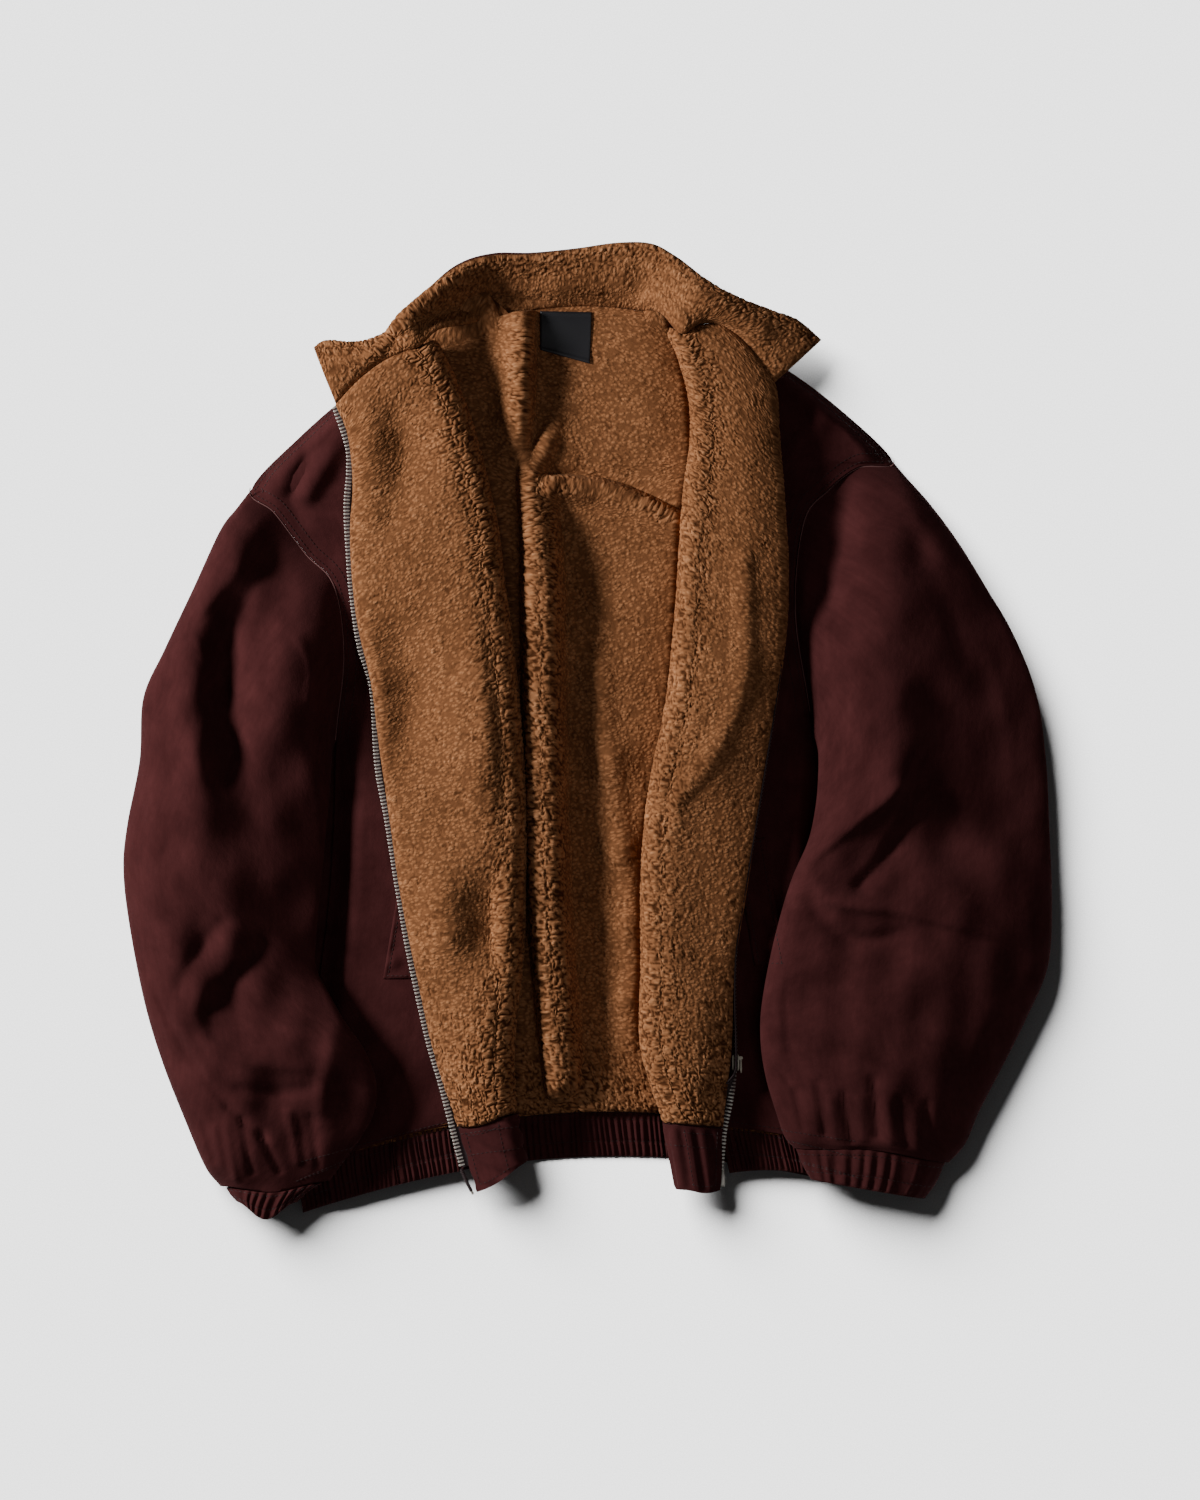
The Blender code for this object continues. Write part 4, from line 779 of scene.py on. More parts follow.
SLEEVE_SHAPE = {
    "left": [
        (167, [(-266, 1), (-242, 0.78), (-220, 0.85)]),
        (135, [(-298, 1), (-281, 1), (-260, 0.66), (-238, 0.7), (-214, 0.92)]),
        (103, [(-324, 0.95), (-306, 0.97), (-284, 0.74), (-260, 0.7), (-233, 0.88), (-214, 1)]),
        (71, [(-340, 0.95), (-324, 0.98), (-307, 0.86), (-289, 0.6),
          (-268, 0.72), (-239, 0.98), (-215, 1.02)]),
        (31, [(-350, 0.95), (-327, 1), (-310, 0.92), (-292, 0.58),
          (-274, 0.78), (-246, 1), (-222, 1.03), (-204, 0.9)]),
        (-9, [(-354, 0.95), (-326, 1), (-306, 1.02), (-289, 0.62),
          (-270, 0.76), (-242, 0.88), (-218, 0.78), (-204, 0.7)]),
        (-33, [(-356, 0.95), (-327, 1), (-305, 1.05), (-287, 0.72),
          (-266, 0.74), (-242, 0.76), (-207, 0.66)]),
        (-57, [(-358, 0.95), (-330, 1), (-303, 1.06), (-281, 0.88),
          (-258, 0.78), (-230, 0.7), (-210, 0.62)]),
        (-105, [(-366, 0.95), (-334, 1), (-306, 1.06), (-282, 0.93),
          (-254, 0.8), (-226, 0.68), (-210, 0.6)]),
        (-141, [(-366, 0.95), (-338, 1), (-310, 1.04), (-282, 1),
          (-258, 0.82), (-226, 0.66), (-212, 0.62)]),
        (-169, [(-358, 0.95), (-337, 1), (-321, 0.94), (-306, 0.9),
          (-286, 1.02), (-266, 0.89), (-242, 0.76), (-218, 0.64)]),
        (-209, [(-343, 0.98), (-322, 0.95), (-306, 0.98), (-295, 0.84),
          (-278, 0.78), (-250, 0.75), (-214, 0.66)]),
        (-237, [(-338, 0.95), (-318, 0.98), (-302, 0.92), (-278, 0.85), (-246, 0.82), (-206, 0.78)]),
        (-261, [(-326, 0.92), (-306, 1), (-282, 1), (-254, 1), (-226, 0.94), (-199, 0.92)]),
        (-289, [(-302, 0.96), (-274, 0.92), (-242, 0.86), (-215, 0.94), (-191, 0.8)]),
        (-321, [(-282, 0.98), (-254, 0.92), (-226, 0.84), (-206, 0.86)]),
        (-345, [(-286, 1), (-260, 0.96), (-230, 0.92)]),
    ],
    "right": [
        (183, [(220, 0.92), (234, 0.98), (254, 1), (198, 0.62), (180, 0.9)]),
        (147, [(180, 0.88), (196, 0.52), (217, 0.92), (238, 1.02), (266, 0.93), (290, 0.84)]),
        (111, [(175, 0.9), (188, 0.58), (209, 0.86), (238, 1.03), (266, 0.91), (298, 0.78)]),
        (71, [(180, 0.84), (210, 0.95), (242, 1.05), (274, 0.87), (310, 0.68), (338, 0.6)]),
        (23, [(182, 0.8), (210, 0.93), (245, 1.05), (274, 0.85), (314, 0.64), (346, 0.56)]),
        (-25, [(198, 0.86), (222, 0.96), (247, 1.05), (270, 0.84), (306, 0.64), (342, 0.56)]),
        (-53, [(194, 0.9), (222, 0.98), (245, 1.01), (268, 0.8), (302, 0.65), (338, 0.58)]),
        (-93, [(170, 0.92), (194, 0.98), (217, 0.88), (242, 0.77), (274, 0.71), (310, 0.66), (346, 0.6)]),
        (-114, [(175, 0.96), (199, 0.92), (220, 0.86), (250, 0.84), (282, 0.82), (322, 0.8), (350, 0.74)]),
        (-137, [(167, 0.93), (191, 0.92), (220, 0.93), (254, 0.92), (290, 0.88), (330, 0.84), (358, 0.76)]),
        (-158, [(162, 0.96), (188, 0.88), (212, 0.86), (238, 0.89), (274, 0.88), (314, 0.83), (350, 0.76)]),
        (-193, [(158, 1), (182, 0.92), (210, 0.9), (242, 0.91), (278, 0.92), (318, 0.86), (353, 0.74)]),
        (-241, [(154, 0.95), (177, 0.94), (210, 0.95), (250, 1), (290, 0.9), (330, 0.78)]),
        (-281, [(162, 0.92), (194, 0.96), (234, 1.02), (274, 0.95), (306, 0.85)]),
        (-321, [(178, 0.95), (218, 1), (258, 1), (286, 0.9)]),
    ],
}
SLEEVE_FOLDS = {
    "left": [
        ([(-247, 151), (-270, 111), (-289, 71), (-292, 23), (-286, -18)], -3, 6, 8),
        ([(-290, -154), (-311, -178), (-325, -204)], -2.5, 5, 7),
        ([(-260, -172), (-284, -202), (-303, -224), (-298, -242)], -4, 5, 10),
        ([(-305, -249), (-270, -265), (-225, -270)], 2.5, 6, 8),
        ([(-276, -287), (-250, -290), (-220, -286)], -2.2, 5, 6),
        ([(-202, -241), (-208, -274), (-212, -303)], 2, 6, 7),
        ([(-366, -162), (-342, -217), (-319, -259), (-289, -299), (-258, -326)], -2.6, 2.5, 4),
        ([(-275, -311), (-272, -330), (-268, -353)], -2.4, 3, 3.5),
        ([(-260, -321), (-254, -337), (-246, -353)], -2.2, 2.5, 3.5),
        ([(-287, -314), (-285, -335), (-281, -359)], 2, 3, 3.5),
        ([(-238, -306), (-234, -325), (-231, -345)], 2.2, 3, 3.5),
        ([(-220, -309), (-218, -325), (-215, -349)], -2, 3, 3.5),
        ([(-329, -225), (-310, -266), (-292, -297)], 2, 5, 6),
        ([(-306, -317), (-298, -345)], -2, 2.5, 3.5),
        ([(-297, -319), (-292, -349)], 1.6, 2.5, 3),
        ([(-230, 167), (-225, 135), (-230, 95)], 2, 6, 8),
        ([(-255, 177), (-279, 126), (-306, 95)], 2, 8, 4),
        ([(-350, 135), (-329, 145), (-305, 146)], -1.2, 3, 4),
        ([(-313, 74), (-305, 54)], 1.6, 2.5, 3),
        ([(-230, 71), (-220, 49), (-222, 23)], 1.8, 3, 5),
        ([(-260, 207), (-263, 167)], 0.9, 4, 4),
        ([(-358, 71), (-348, -25), (-350, -105)], 0.8, 5, 6),
        ([(-335, 23), (-332, -57), (-337, -137)], -0.8, 5, 5),
    ],
    "right": [
        ([(198, 183), (194, 143), (183, 110), (173, 90)], -5.5, 5, 7),
        ([(217, 183), (213, 127), (201, 95), (175, 76)], 2.5, 5, 8),
        ([(176, 185), (181, 166), (177, 142), (171, 102)], 4.5, 4, 3.5),
        ([(250, -47), (223, -69), (196, -89), (175, -107)], 5, 9, 5),
        ([(270, -54), (254, -76), (234, -106), (217, -124)], -5, 5, 9),
        ([(175, -114), (193, -137), (220, -143),
          (250, -145), (282, -154), (318, -162), (359, -178)], (5, 6, 5, 4, 5, 4.5, 3), 4, 10),
        ([(178, -138), (198, -161), (223, -169), (254, -161)], (-3, -6, -5, -2), 8, 6),
        ([(158, -205), (158, -233), (161, -257)], -2, 3, 6),
        ([(141, -263), (150, -270), (160, -281)], -2, 3, 3),
        ([(184, -282), (186, -298), (189, -322)], -2.6, 2.5, 3.5),
        ([(204, -290), (206, -306), (210, -329)], -2.4, 2.5, 3.5),
        ([(227, -279), (229, -297), (231, -324)], -2.8, 2.8, 4),
        ([(248, -294), (250, -311), (254, -332)], -2.2, 2.5, 3.5),
        ([(270, -298), (273, -319), (277, -338)], -2.2, 2.5, 3.5),
        ([(194, -295), (198, -326)], 1.8, 2.5, 3),
        ([(217, -294), (220, -327)], 1.6, 2.5, 3),
        ([(238, -297), (242, -329)], 1.8, 2.5, 3),
        ([(260, -303), (264, -335)], 1.4, 2.5, 3),
        ([(166, -290), (172, -319)], -1.8, 2.5, 3.5),
        ([(335, -233), (319, -249), (312, -270)], -2, 4, 6),
        ([(270, 191), (298, 151), (330, 103)], 2, 5, 7),
        ([(254, 167), (282, 111), (302, 55)], -1.2, 8, 8),
        ([(226, 207), (254, 183), (278, 147)], 1.2, 6, 6),
        ([(170, 23), (188, 7)], -2.6, 4, 4),
        ([(218, 71), (212, 23), (220, -18)], 1.2, 6, 8),
        ([(322, 55), (335, 7), (342, -49)], 0.9, 6, 6),
    ],
}


# %% A sleeve from its rings
def body_lift(side, x, y):
    rows = np.linspace(UNDERARM_ROW, END_ROW, 40)
    seam = row_points(side, rows)[0]
    seam_x = np.interp(-y, -seam[:, 1], seam[:, 0])
    inside = (x - seam_x) * TURN[side]
    return BODY_CLEARANCE * smooth((inside + LIFT_REACH) / (2 * LIFT_REACH))


def armhole_ring(side):
    seam = row_points(side, np.array([SHOULDER_ROW, UNDERARM_ROW]))[0]
    shift = SEAM * np.array([-TURN[side], -1])
    outer, inner = seam[0] + shift, seam[1] + shift
    return (*outer, *inner, 0.0, ARMHOLE_CROWN, RIM, RIM)


def ring_plan(side, ring, s, kept):
    outer, inner, bow = np.array(ring[0:2]), np.array(ring[2:4]), ring[4]
    plan = outer + (inner - outer) * s[:, None]
    plan[:, 1] += bow * np.sin(np.pi * s) ** 2
    hole = row_points(side, SHOULDER_ROW + (UNDERARM_ROW - SHOULDER_ROW) * s)[0]
    chord = hole[0] + (hole[-1] - hole[0]) * s[:, None]
    return plan + kept * (hole - chord)


def ring_heights(side, ring, s, plan, lift, folds):
    crown, outer_rim, inner_rim = ring[5:8]
    rim = outer_rim + (inner_rim - outer_rim) * s
    rise = arch(s)
    shape = drape(plan[:, 0], plan[:, 1], SLEEVE_SHAPE[side], 13.0) if len(folds) else 1.0
    over = rim + RIM + (crown * shape - rim - RIM) * rise
    over = over + fold_field(plan[:, 0], plan[:, 1], folds) * rise * lift
    under = (rim - RIM) * (1 - arch(s, 4.0))
    under = np.maximum(under, lift * body_lift(side, plan[:, 0], plan[:, 1]))
    return np.maximum(over, under + 2 * RIM), under


def inset_loop(loop, depth):
    ahead = unit(np.roll(loop, -1, axis=0) - loop)
    behind = np.roll(ahead, 1, axis=0)
    corner = ahead + behind
    normal = unit(np.column_stack([-corner[:, 1], corner[:, 0]]))
    square = np.sum(normal * np.column_stack([-ahead[:, 1], ahead[:, 0]]), axis=1)
    return loop + normal * (depth / np.maximum(square, 0.6))[:, None]


def ring_loop(side, ring, s, kept, lift, folds, extra):
    """The outer loop of one ring: the underside from outer edge to inner, the top back again."""
    plan = ring_plan(side, ring, s, kept)
    over, under = ring_heights(side, ring, s, plan, lift, folds)
    over = over + extra(plan, s) * arch(s) * lift
    low = np.column_stack([plan, under])
    high = np.column_stack([plan, over])
    return np.vstack([low, high[::-1]])


def inner_loop(outer, depth):
    """The same loop moved in by the cloth's thickness."""
    count = len(outer) // 2
    plan = outer[:count, :2]
    run = np.concatenate([[0], np.cumsum(np.linalg.norm(np.diff(plan, axis=0), axis=1))])
    loop = np.column_stack([np.concatenate([run, run[::-1]]), outer[:, 2]])
    inset = inset_loop(loop, depth)
    inset_run = np.clip(inset[:, 0], 0, run[-1])
    back = np.column_stack([np.interp(inset_run, run, plan[:, k]) for k in (0, 1)])
    return np.column_stack([back, inset[:, 1]])


def rounded_shares(count):
    return 0.5 * (1 - np.cos(np.pi * np.arange(count + 1) / count))


def make_sleeve(side):
    rings = np.array([armhole_ring(side)] + SLEEVE_RINGS[side])
    kept_rows = [(k,) for k in ARMHOLE_CURVE_KEPT]

    def wavy(plan, s):
        return 0.0010 * waves(plan[:, 0], plan[:, 1], 0.060, 50, spread=0.5, count=20)

    def loops(count, ring_count):
        s = rounded_shares(count)
        made = []
        for at in np.linspace(0, len(rings) - 1, ring_count):
            kept = float(np.clip(track(kept_rows, at)[0], 0, 1))
            lift = float(smooth(at / 3))
            ring = track(rings, at)
            made.append(ring_loop(side, ring, s, kept, lift, SLEEVE_FOLDS[side], wavy))
        return np.array(made)

    outer = loops(72, 195)
    inner = np.array([inner_loop(ring, CANVAS) for ring in loops(24, 60)])
    return cloth(f"canvas_sleeve_{side}", outer, inner, [f"sleeve_{side}"],
                 tube=True)


canvas_pieces += [make_sleeve(side) for side in SIDES]

# %% [markdown]
# ## Cuffs and hem band
# Elastic inside the cuffs and the hem band gathers the canvas into small upright pleats. They
# are never quite even, so each pleat gets its own width and height, and a sewn line presses
# them down across the middle of the band.

# %% Gathers
GATHERS = {"back": 93, "left": 33, "right": 28, "cuff": 10}
GATHER_SEEDS = {"back": 61, "left": 62, "right": 63}
CUFF_SEEDS = {"left": 64, "right": 65}
SEWN_DOWN = (0.12, 0.62)  # lines of topstitching, as shares of the band's depth
BAND_WALL = 0.0022
CUFF_WALL = 0.0019
GATHER_HEIGHT = 0.0028
CUFF_GATHER_HEIGHT = 0.0026
BAND_SIDE_LOW = BAND_WALL + GATHER_HEIGHT + SEAM
BAND_LAID_LOW = 0.0122
BAND_RAMP = 0.040
BAND_SHARE = 0.75  # the gathered part of a front's laid width; its plain end follows
HEM_SEAM = 0.014  # gap above the band, in rows


def gathers(phase, down, seed):
    """Height from 0 to 1 of uneven pleats; phase counts pleats, down runs 0 to 1 over the band."""
    draw = np.random.default_rng(seed)
    wander = 0.22 * np.interp(phase, np.arange(200), draw.normal(size=200))
    lean = 0.25 * np.interp(phase, np.arange(0, 200, 3), draw.normal(size=67)) * (down - 0.5)
    tall = 0.75 + 0.25 * np.interp(phase, np.arange(200), draw.uniform(-1, 1, 200))
    pleat = 0.5 + 0.5 * np.cos(2 * np.pi * (phase + wander + lean))
    stitched = 1 - 0.55 * bell(down - SEWN_DOWN[1], 0.035)
    stitched = stitched * (1 - 0.45 * bell(down - SEWN_DOWN[0], 0.04))
    ends = 0.35 + 0.65 * smooth(np.minimum(down, 1 - down) / 0.10)
    return np.clip(pleat, 0, 1) ** 0.8 * tall * stitched * ends


def band_base(part, down, along):
    """Plan and underside of the gathered band; down and along run 0 to 1 over the part."""
    at = HEM_ROW + HEM_SEAM + (1 - HEM_SEAM) * down
    if part == "back":
        return back_plan(at, along), np.zeros(at.shape)
    seam, fold, _, bow, _ = row_points(part, at)
    reach = np.linalg.norm(fold - seam, axis=-1)
    width = (reach - ROLL_RADIUS - FOLD_INSET - SIDE_RAMP) * BAND_SHARE + SIDE_RAMP
    distance = width * along
    plan = seam + unit(fold - seam) * distance[..., None]
    plan[..., 1] += bow_at(bow, distance / reach)
    return plan, BAND_SIDE_LOW + (BAND_LAID_LOW - BAND_SIDE_LOW) * smooth(distance / BAND_RAMP)


def make_band(part):
    pleats = GATHERS[part]
    down, along = mesh_rows(26, pleats * 7 + 1)
    plan, low = band_base(part, down, along)
    fade = 1.0 if part == "back" else 0.4 + 0.6 * smooth(along / 0.15)
    rise = GATHER_HEIGHT * gathers(along * pleats, down, GATHER_SEEDS[part]) * fade
    outer = np.dstack([plan, low + BAND_WALL - 0.0004 + rise])
    inner = np.dstack(band_base(part, *mesh_rows(4, 40)))
    return cloth(f"canvas_hem_{part}", outer, inner, [f"hem_band_{part}"])


PLAIN_END_HALF = CANVAS + LAYER / 2  # two layers of canvas, half of them on each side


def make_plain_end(side):
    """The ungathered end of the hem band at the zip, with a few slack creases."""
    half = PLAIN_END_HALF
    shares = {"ramp": (), "laid": (BAND_SHARE + 0.015, 0.95)}
    fine = shares | {"roll": np.linspace(0, 1, 24)[1:-1], "turned": np.linspace(0, 1, 40)}
    coarse = shares | {"roll": np.linspace(0, 1, 8)[1:-1], "turned": np.linspace(0, 1, 8)}
    top = HEM_ROW + 2 * HEM_SEAM
    surface = front_surface(side, np.linspace(top, END_ROW, 40), **fine, inset=half)
    way = lining_way(side, surface)
    place = flat_place(surface)
    u, v = place[..., 0], place[..., 1]
    if side == "left":
        crease = 0.0011 * np.cos(2 * np.pi * (u * 0.8 + v * 0.9) / 0.016)
    else:
        crease = 0.0011 * np.cos(2 * np.pi * u / 0.0115)
    calm = smooth(v / 0.006) * smooth((v[-1:] - v) / 0.004)
    outer = lifted(surface, way, half + np.minimum(crease, 0.0008) * calm)
    base = front_surface(side, np.linspace(top, END_ROW, 6), **coarse, inset=half)
    inner = base - lining_way(side, base) * half
    return cloth(f"canvas_hem_end_{side}", outer, inner, [f"hem_end_{side}"], place)


def make_cuff(side):
    rings = np.array(CUFF_RINGS[side])
    last = len(rings) - 1
    pleats = GATHERS["cuff"]

    def loops(count, ring_count, height):
        s = np.linspace(0, 1, count)
        made = []
        for at in np.linspace(0, last, ring_count):
            def pleated(plan, share, at=at):
                down = np.full(share.shape, at / last)
                return height * gathers(share * pleats, down, CUFF_SEEDS[side])

            made.append(ring_loop(side, track(rings, at), s, 0.0, 1.0, [], pleated))
        return np.array(made)

    outer = loops(pleats * 10 + 1, 24, CUFF_GATHER_HEIGHT)
    inner = np.array([inner_loop(ring, CUFF_WALL) for ring in loops(20, 5, 0.0)])
    return cloth(f"canvas_cuff_{side}", outer, inner, [f"cuff_{side}"],
                 tube=True)


canvas_pieces.append(make_band("back"))
for side in SIDES:
    canvas_pieces += [make_band(side), make_plain_end(side), make_cuff(side)]

# %% [markdown]
# ## Collar
# The collar stands on the real jacket; laid out it falls outwards and back, so its fleece
# shows along the whole top edge and the canvas lies underneath. It is one strip sewn to the
# neck, from one zip end to the other, up over the turned fronts and down behind the neck.

# %% The collar's strip
# panel, place along its neck edge, distance out, lift, edge_x, edge_y, edge_z, sag
COLLAR_ROWS = [
    ("left", 1.0, -0.0002, 0.000, -0.218, 0.305, 0.024, 0.000),
    ("left", 0.8, -0.0002, 0.000, -0.209, 0.310, 0.026, 0.000),
    ("left", 0.6, -0.0002, 0.000, -0.191, 0.308, 0.028, 0.000),
    ("left", 0.4, -0.0002, 0.000, -0.176, 0.309, 0.030, 0.000),
    ("left", 0.2, -0.0002, 0.000, -0.160, 0.317, 0.032, -0.001),
    ("left", 0.0, 0.0012, 0.001, -0.146, 0.334, 0.034, -0.002),
    ("back", 0.12, 0.0045, 0.027, -0.126, 0.353, 0.035, -0.004),
    ("back", 0.20, 0.0010, 0.012, -0.102, 0.371, 0.034, -0.007),
    ("back", 0.29, -0.0002, 0.001, -0.075, 0.379, 0.031, -0.008),
    ("back", 0.42, -0.0002, 0.000, -0.045, 0.380, 0.028, -0.004),
    ("back", 0.54, -0.0002, 0.000, -0.010, 0.384, 0.026, -0.001),
    ("back", 0.65, -0.0002, 0.001, 0.025, 0.389, 0.026, 0.000),
    ("back", 0.73, 0.0006, 0.005, 0.052, 0.388, 0.028, 0.000),
    ("back", 0.79, 0.0010, 0.018, 0.072, 0.377, 0.031, 0.000),
    ("right", 0.0, 0.0022, 0.001, 0.093, 0.360, 0.034, 0.000),
    ("right", 0.2, 0.0008, 0.000, 0.112, 0.348, 0.034, 0.001),
    ("right", 0.4, -0.0002, 0.000, 0.131, 0.339, 0.032, 0.001),
    ("right", 0.6, -0.0002, 0.000, 0.150, 0.332, 0.029, 0.001),
    ("right", 0.8, -0.0002, 0.000, 0.169, 0.326, 0.026, 0.000),
    ("right", 1.0, -0.0002, 0.000, 0.187, 0.311, 0.022, 0.000),
]
COLLAR_FOLDS = [
    ([(-151, 313), (-166, 292)], -3, 4, 6),
    ([(-126, 329), (-87, 343), (-47, 334)], -12, 14, 12),
    ([(-150, 326), (-124, 350), (-100, 367)], 4, 8, 8),
    ([(54, 343), (71, 329), (82, 311)], 5, 7, 7),
    ([(-22, 359), (26, 363)], 2.5, 12, 10),
    ([(90, 343), (138, 319)], 2, 10, 8),
]


def neck_edge(panel, along):
    """A point of the neck edge, and the way out from it in plan."""
    if panel == "back":
        plan = back_plan(np.zeros(3), np.array([along - 0.01, along, along + 0.01]))
        tangent = unit(plan[2] - plan[0])
        return np.array([*plan[1], SIDE_HEIGHT - SEAM / 4]), np.array([-tangent[1], tangent[0]])
    places = (max(along - 0.02, 0), along, min(along + 0.02, 1))
    surface = front_surface(panel, np.array([0.0]), (), (), (), places)[0]
    tangent = unit(surface[2, :2] - surface[0, :2]) * -TURN[panel]
    return surface[1], np.array([-tangent[1], tangent[0]])


COLLAR_LOW = 0.0030  # the collar's surface never lies below this


def collar_surface(rows, steps):
    """Boundary of canvas and lining of the collar, neck edge to outer edge."""
    seam, edge, sag = [], [], []
    for panel, along, away, lift, edge_x, edge_y, edge_z, middle in COLLAR_ROWS:
        point, out = neck_edge(panel, along)
        seam.append([*(point[:2] + out * away), point[2] + lift])
        edge.append([edge_x, edge_y, edge_z])
        sag.append((middle,))
    at = np.linspace(0, len(COLLAR_ROWS) - 1, rows)
    seam, edge, sag = track(seam, at), track(edge, at), track(sag, at)[:, 0]
    columns = []
    for w in np.linspace(0, 1, steps):
        point = seam * (1 - w) + edge * w
        point[:, 2] += bow_at(sag + 0.004, w)
        point[:, 2] += fold_field(point[:, 0], point[:, 1], COLLAR_FOLDS) * smooth(5 * w * (1 - w))
        room = point[:, 2] - COLLAR_LOW
        point[:, 2] = COLLAR_LOW + 0.5 * (room + np.sqrt(room**2 + 0.002**2))
        columns.append(point)
    return np.stack(columns, axis=1)


def collar_way(surface):
    across = np.gradient(surface, axis=1)
    upward = unit(np.cross(np.gradient(surface, axis=0), across))
    share = smooth(np.linspace(0, 2, surface.shape[1]))[None, :, None]
    return unit(np.array([0.0, 0.0, 1.0]) * (1 - share) + upward * share)


def make_collar():
    surface = collar_surface(440, 60)
    way = collar_way(surface)
    place = flat_place(surface)
    to_edge = away_from(surface, surface[:, -1:])
    to_neck = away_from(surface, surface[:, :1])
    to_end = np.minimum(away_from(surface, surface[:1]), away_from(surface, surface[-1:]))
    edge = rounded_edge(np.minimum(np.minimum(to_edge, to_neck), to_end))
    pile = curls(place, 0.35 + 0.5 * bell(to_edge, 0.014), PILE_SEEDS["collar"])
    outer = lifted(surface, way, LAYER / 2 + pile_depth(edge, pile, 0.0006))
    coarse = collar_surface(80, 8)
    low = coarse + collar_way(coarse) * LAYER / 2
    fleece = cloth("fleece_collar", outer, low, ["collar_lining"], place, pile)
    fine = collar_surface(240, 30)
    under = fine - collar_way(fine) * (LAYER / 2 + CANVAS)
    over = coarse - collar_way(coarse) * LAYER / 2
    canvas = cloth("canvas_collar", under, over, ["collar_shell"])
    return fleece, canvas


collar_fleece, collar_canvas = make_collar()
fleece_pieces.append(collar_fleece)
canvas_pieces.append(collar_canvas)

# %% [markdown]
# ## Small hard and sewn parts
# Many small copies of one shape make the zip teeth and the stitches. A mesh can hold all the
# copies at once, which keeps the scene light: one numpy product places every copy, and each
# copy only needs a middle and three directions.

# %% Copies of a small shape in one mesh
PART_SHARP = 40  # degrees


def add_mesh(name, points, faces, replaced, slot, body="jacket"):
    mesh = bpy.data.meshes.new(name)
    mesh.from_pydata(np.asarray(points).tolist(), [], faces)
    mesh.update()
    mesh.shade_smooth()
    mesh.set_sharp_from_angle(angle=math.radians(PART_SHARP))
    thing = put(name, mesh)
    belong(thing, body, replaced)
    print(f"{name}: {len(mesh.polygons)} faces")
    return thing


def copies(name, shape, middles, axes, replaced, slot):
    """One mesh with a copy of `shape` (points, faces) at each middle, turned to its axes."""
    points, faces = shape
    placed = middles[:, None] + np.einsum("pk,nkj->npj", points, axes)
    many = [tuple(i + n * len(points) for i in face) for n in range(len(middles)) for face in faces]
    return add_mesh(name, placed.reshape(-1, 3), many, replaced, slot)


def stacked(outline, levels):
    """A closed shape of the same outline at several heights: (height, scale) from low to high."""
    outline = np.asarray(outline, float)
    count = len(outline)
    middle = outline.mean(axis=0)
    points = [[*(middle + (p - middle) * scale), height] for height, scale in levels for p in outline]
    faces = [tuple(range(count))[::-1], tuple(range((len(levels) - 1) * count, len(levels) * count))]
    for level in range(len(levels) - 1):
        for i in range(count):
            j = (i + 1) % count
            low, high = level * count, (level + 1) * count
            faces.append((low + i, low + j, high + j, high + i))
    return np.array(points), faces


def along_line(line, pitch, start=0.0):
    """Even places along a line: middles and directions."""
    run = np.concatenate([[0], np.cumsum(np.linalg.norm(np.diff(line, axis=0), axis=1))])
    at = np.arange(start, run[-1], pitch)
    middles = np.stack([np.interp(at, run, column) for column in line.T], axis=1)
    ahead = np.stack([np.interp(at, run, np.gradient(column)) for column in line.T], axis=1)
    return middles, unit(ahead)


# %% [markdown]
# ## Zip
# An open-end metal zip runs down both fronts: cast teeth clamped on a dark woven tape, a square
# box at the bottom of one side and a pin at the bottom of the other. On the right front the
# edge is rolled under for most of its length, so there the teeth hang below the fleece, and
# near the hem they twist up to face the camera. The slider hangs at the twist.

# %% Teeth and tapes
CHAIN_HEIGHT = 0.0216
CHAIN_ROUTE = {
    "left": [
        (-0.2030, 0.2580), (-0.1925, 0.2260), (-0.1915, 0.2050), (-0.1935, 0.1780),
        (-0.1920, 0.1450), (-0.1895, 0.1110), (-0.1830, 0.0660), (-0.1730, 0.0320),
        (-0.1690, -0.0280), (-0.1610, -0.0730), (-0.1535, -0.1210), (-0.1455, -0.1690),
        (-0.1390, -0.2010), (-0.1280, -0.2500), (-0.1175, -0.2860), (-0.1064, -0.3300),
        (-0.1008, -0.3512),
    ],
    "right": [
        (0.1480, 0.2680), (0.1505, 0.2380), (0.1540, 0.2040), (0.1580, 0.1590),
        (0.1590, 0.1110), (0.1565, 0.0630), (0.1505, 0.0190), (0.1390, -0.0530),
        (0.1290, -0.1130), (0.1195, -0.1730), (0.1180, -0.2170), (0.1190, -0.2530),
        (0.1190, -0.2700), (0.1175, -0.2850), (0.1150, -0.3020), (0.1110, -0.3210),
        (0.1088, -0.3450), (0.1080, -0.3530),
    ],
}
TOOTH_PITCH = 0.0029
TAPE_WIDTH = 0.0115
TAPE_HALF = 0.00045  # half its thickness
TWIST_END, TWIST_LENGTH = -0.302, 0.032  # where the right-hand chain turns face up, in y


def chain_line(side, steps=400):
    route = CHAIN_ROUTE[side]
    plan = track(route, np.linspace(0, len(route) - 1, steps))
    return np.column_stack([plan, np.full(steps, CHAIN_HEIGHT)])


def twist(side, y):
    """How far the chain is rolled under: 1 hangs down, 0 faces up."""
    if side == "left":
        return np.zeros(y.shape)
    return smooth((y - TWIST_END) / TWIST_LENGTH)


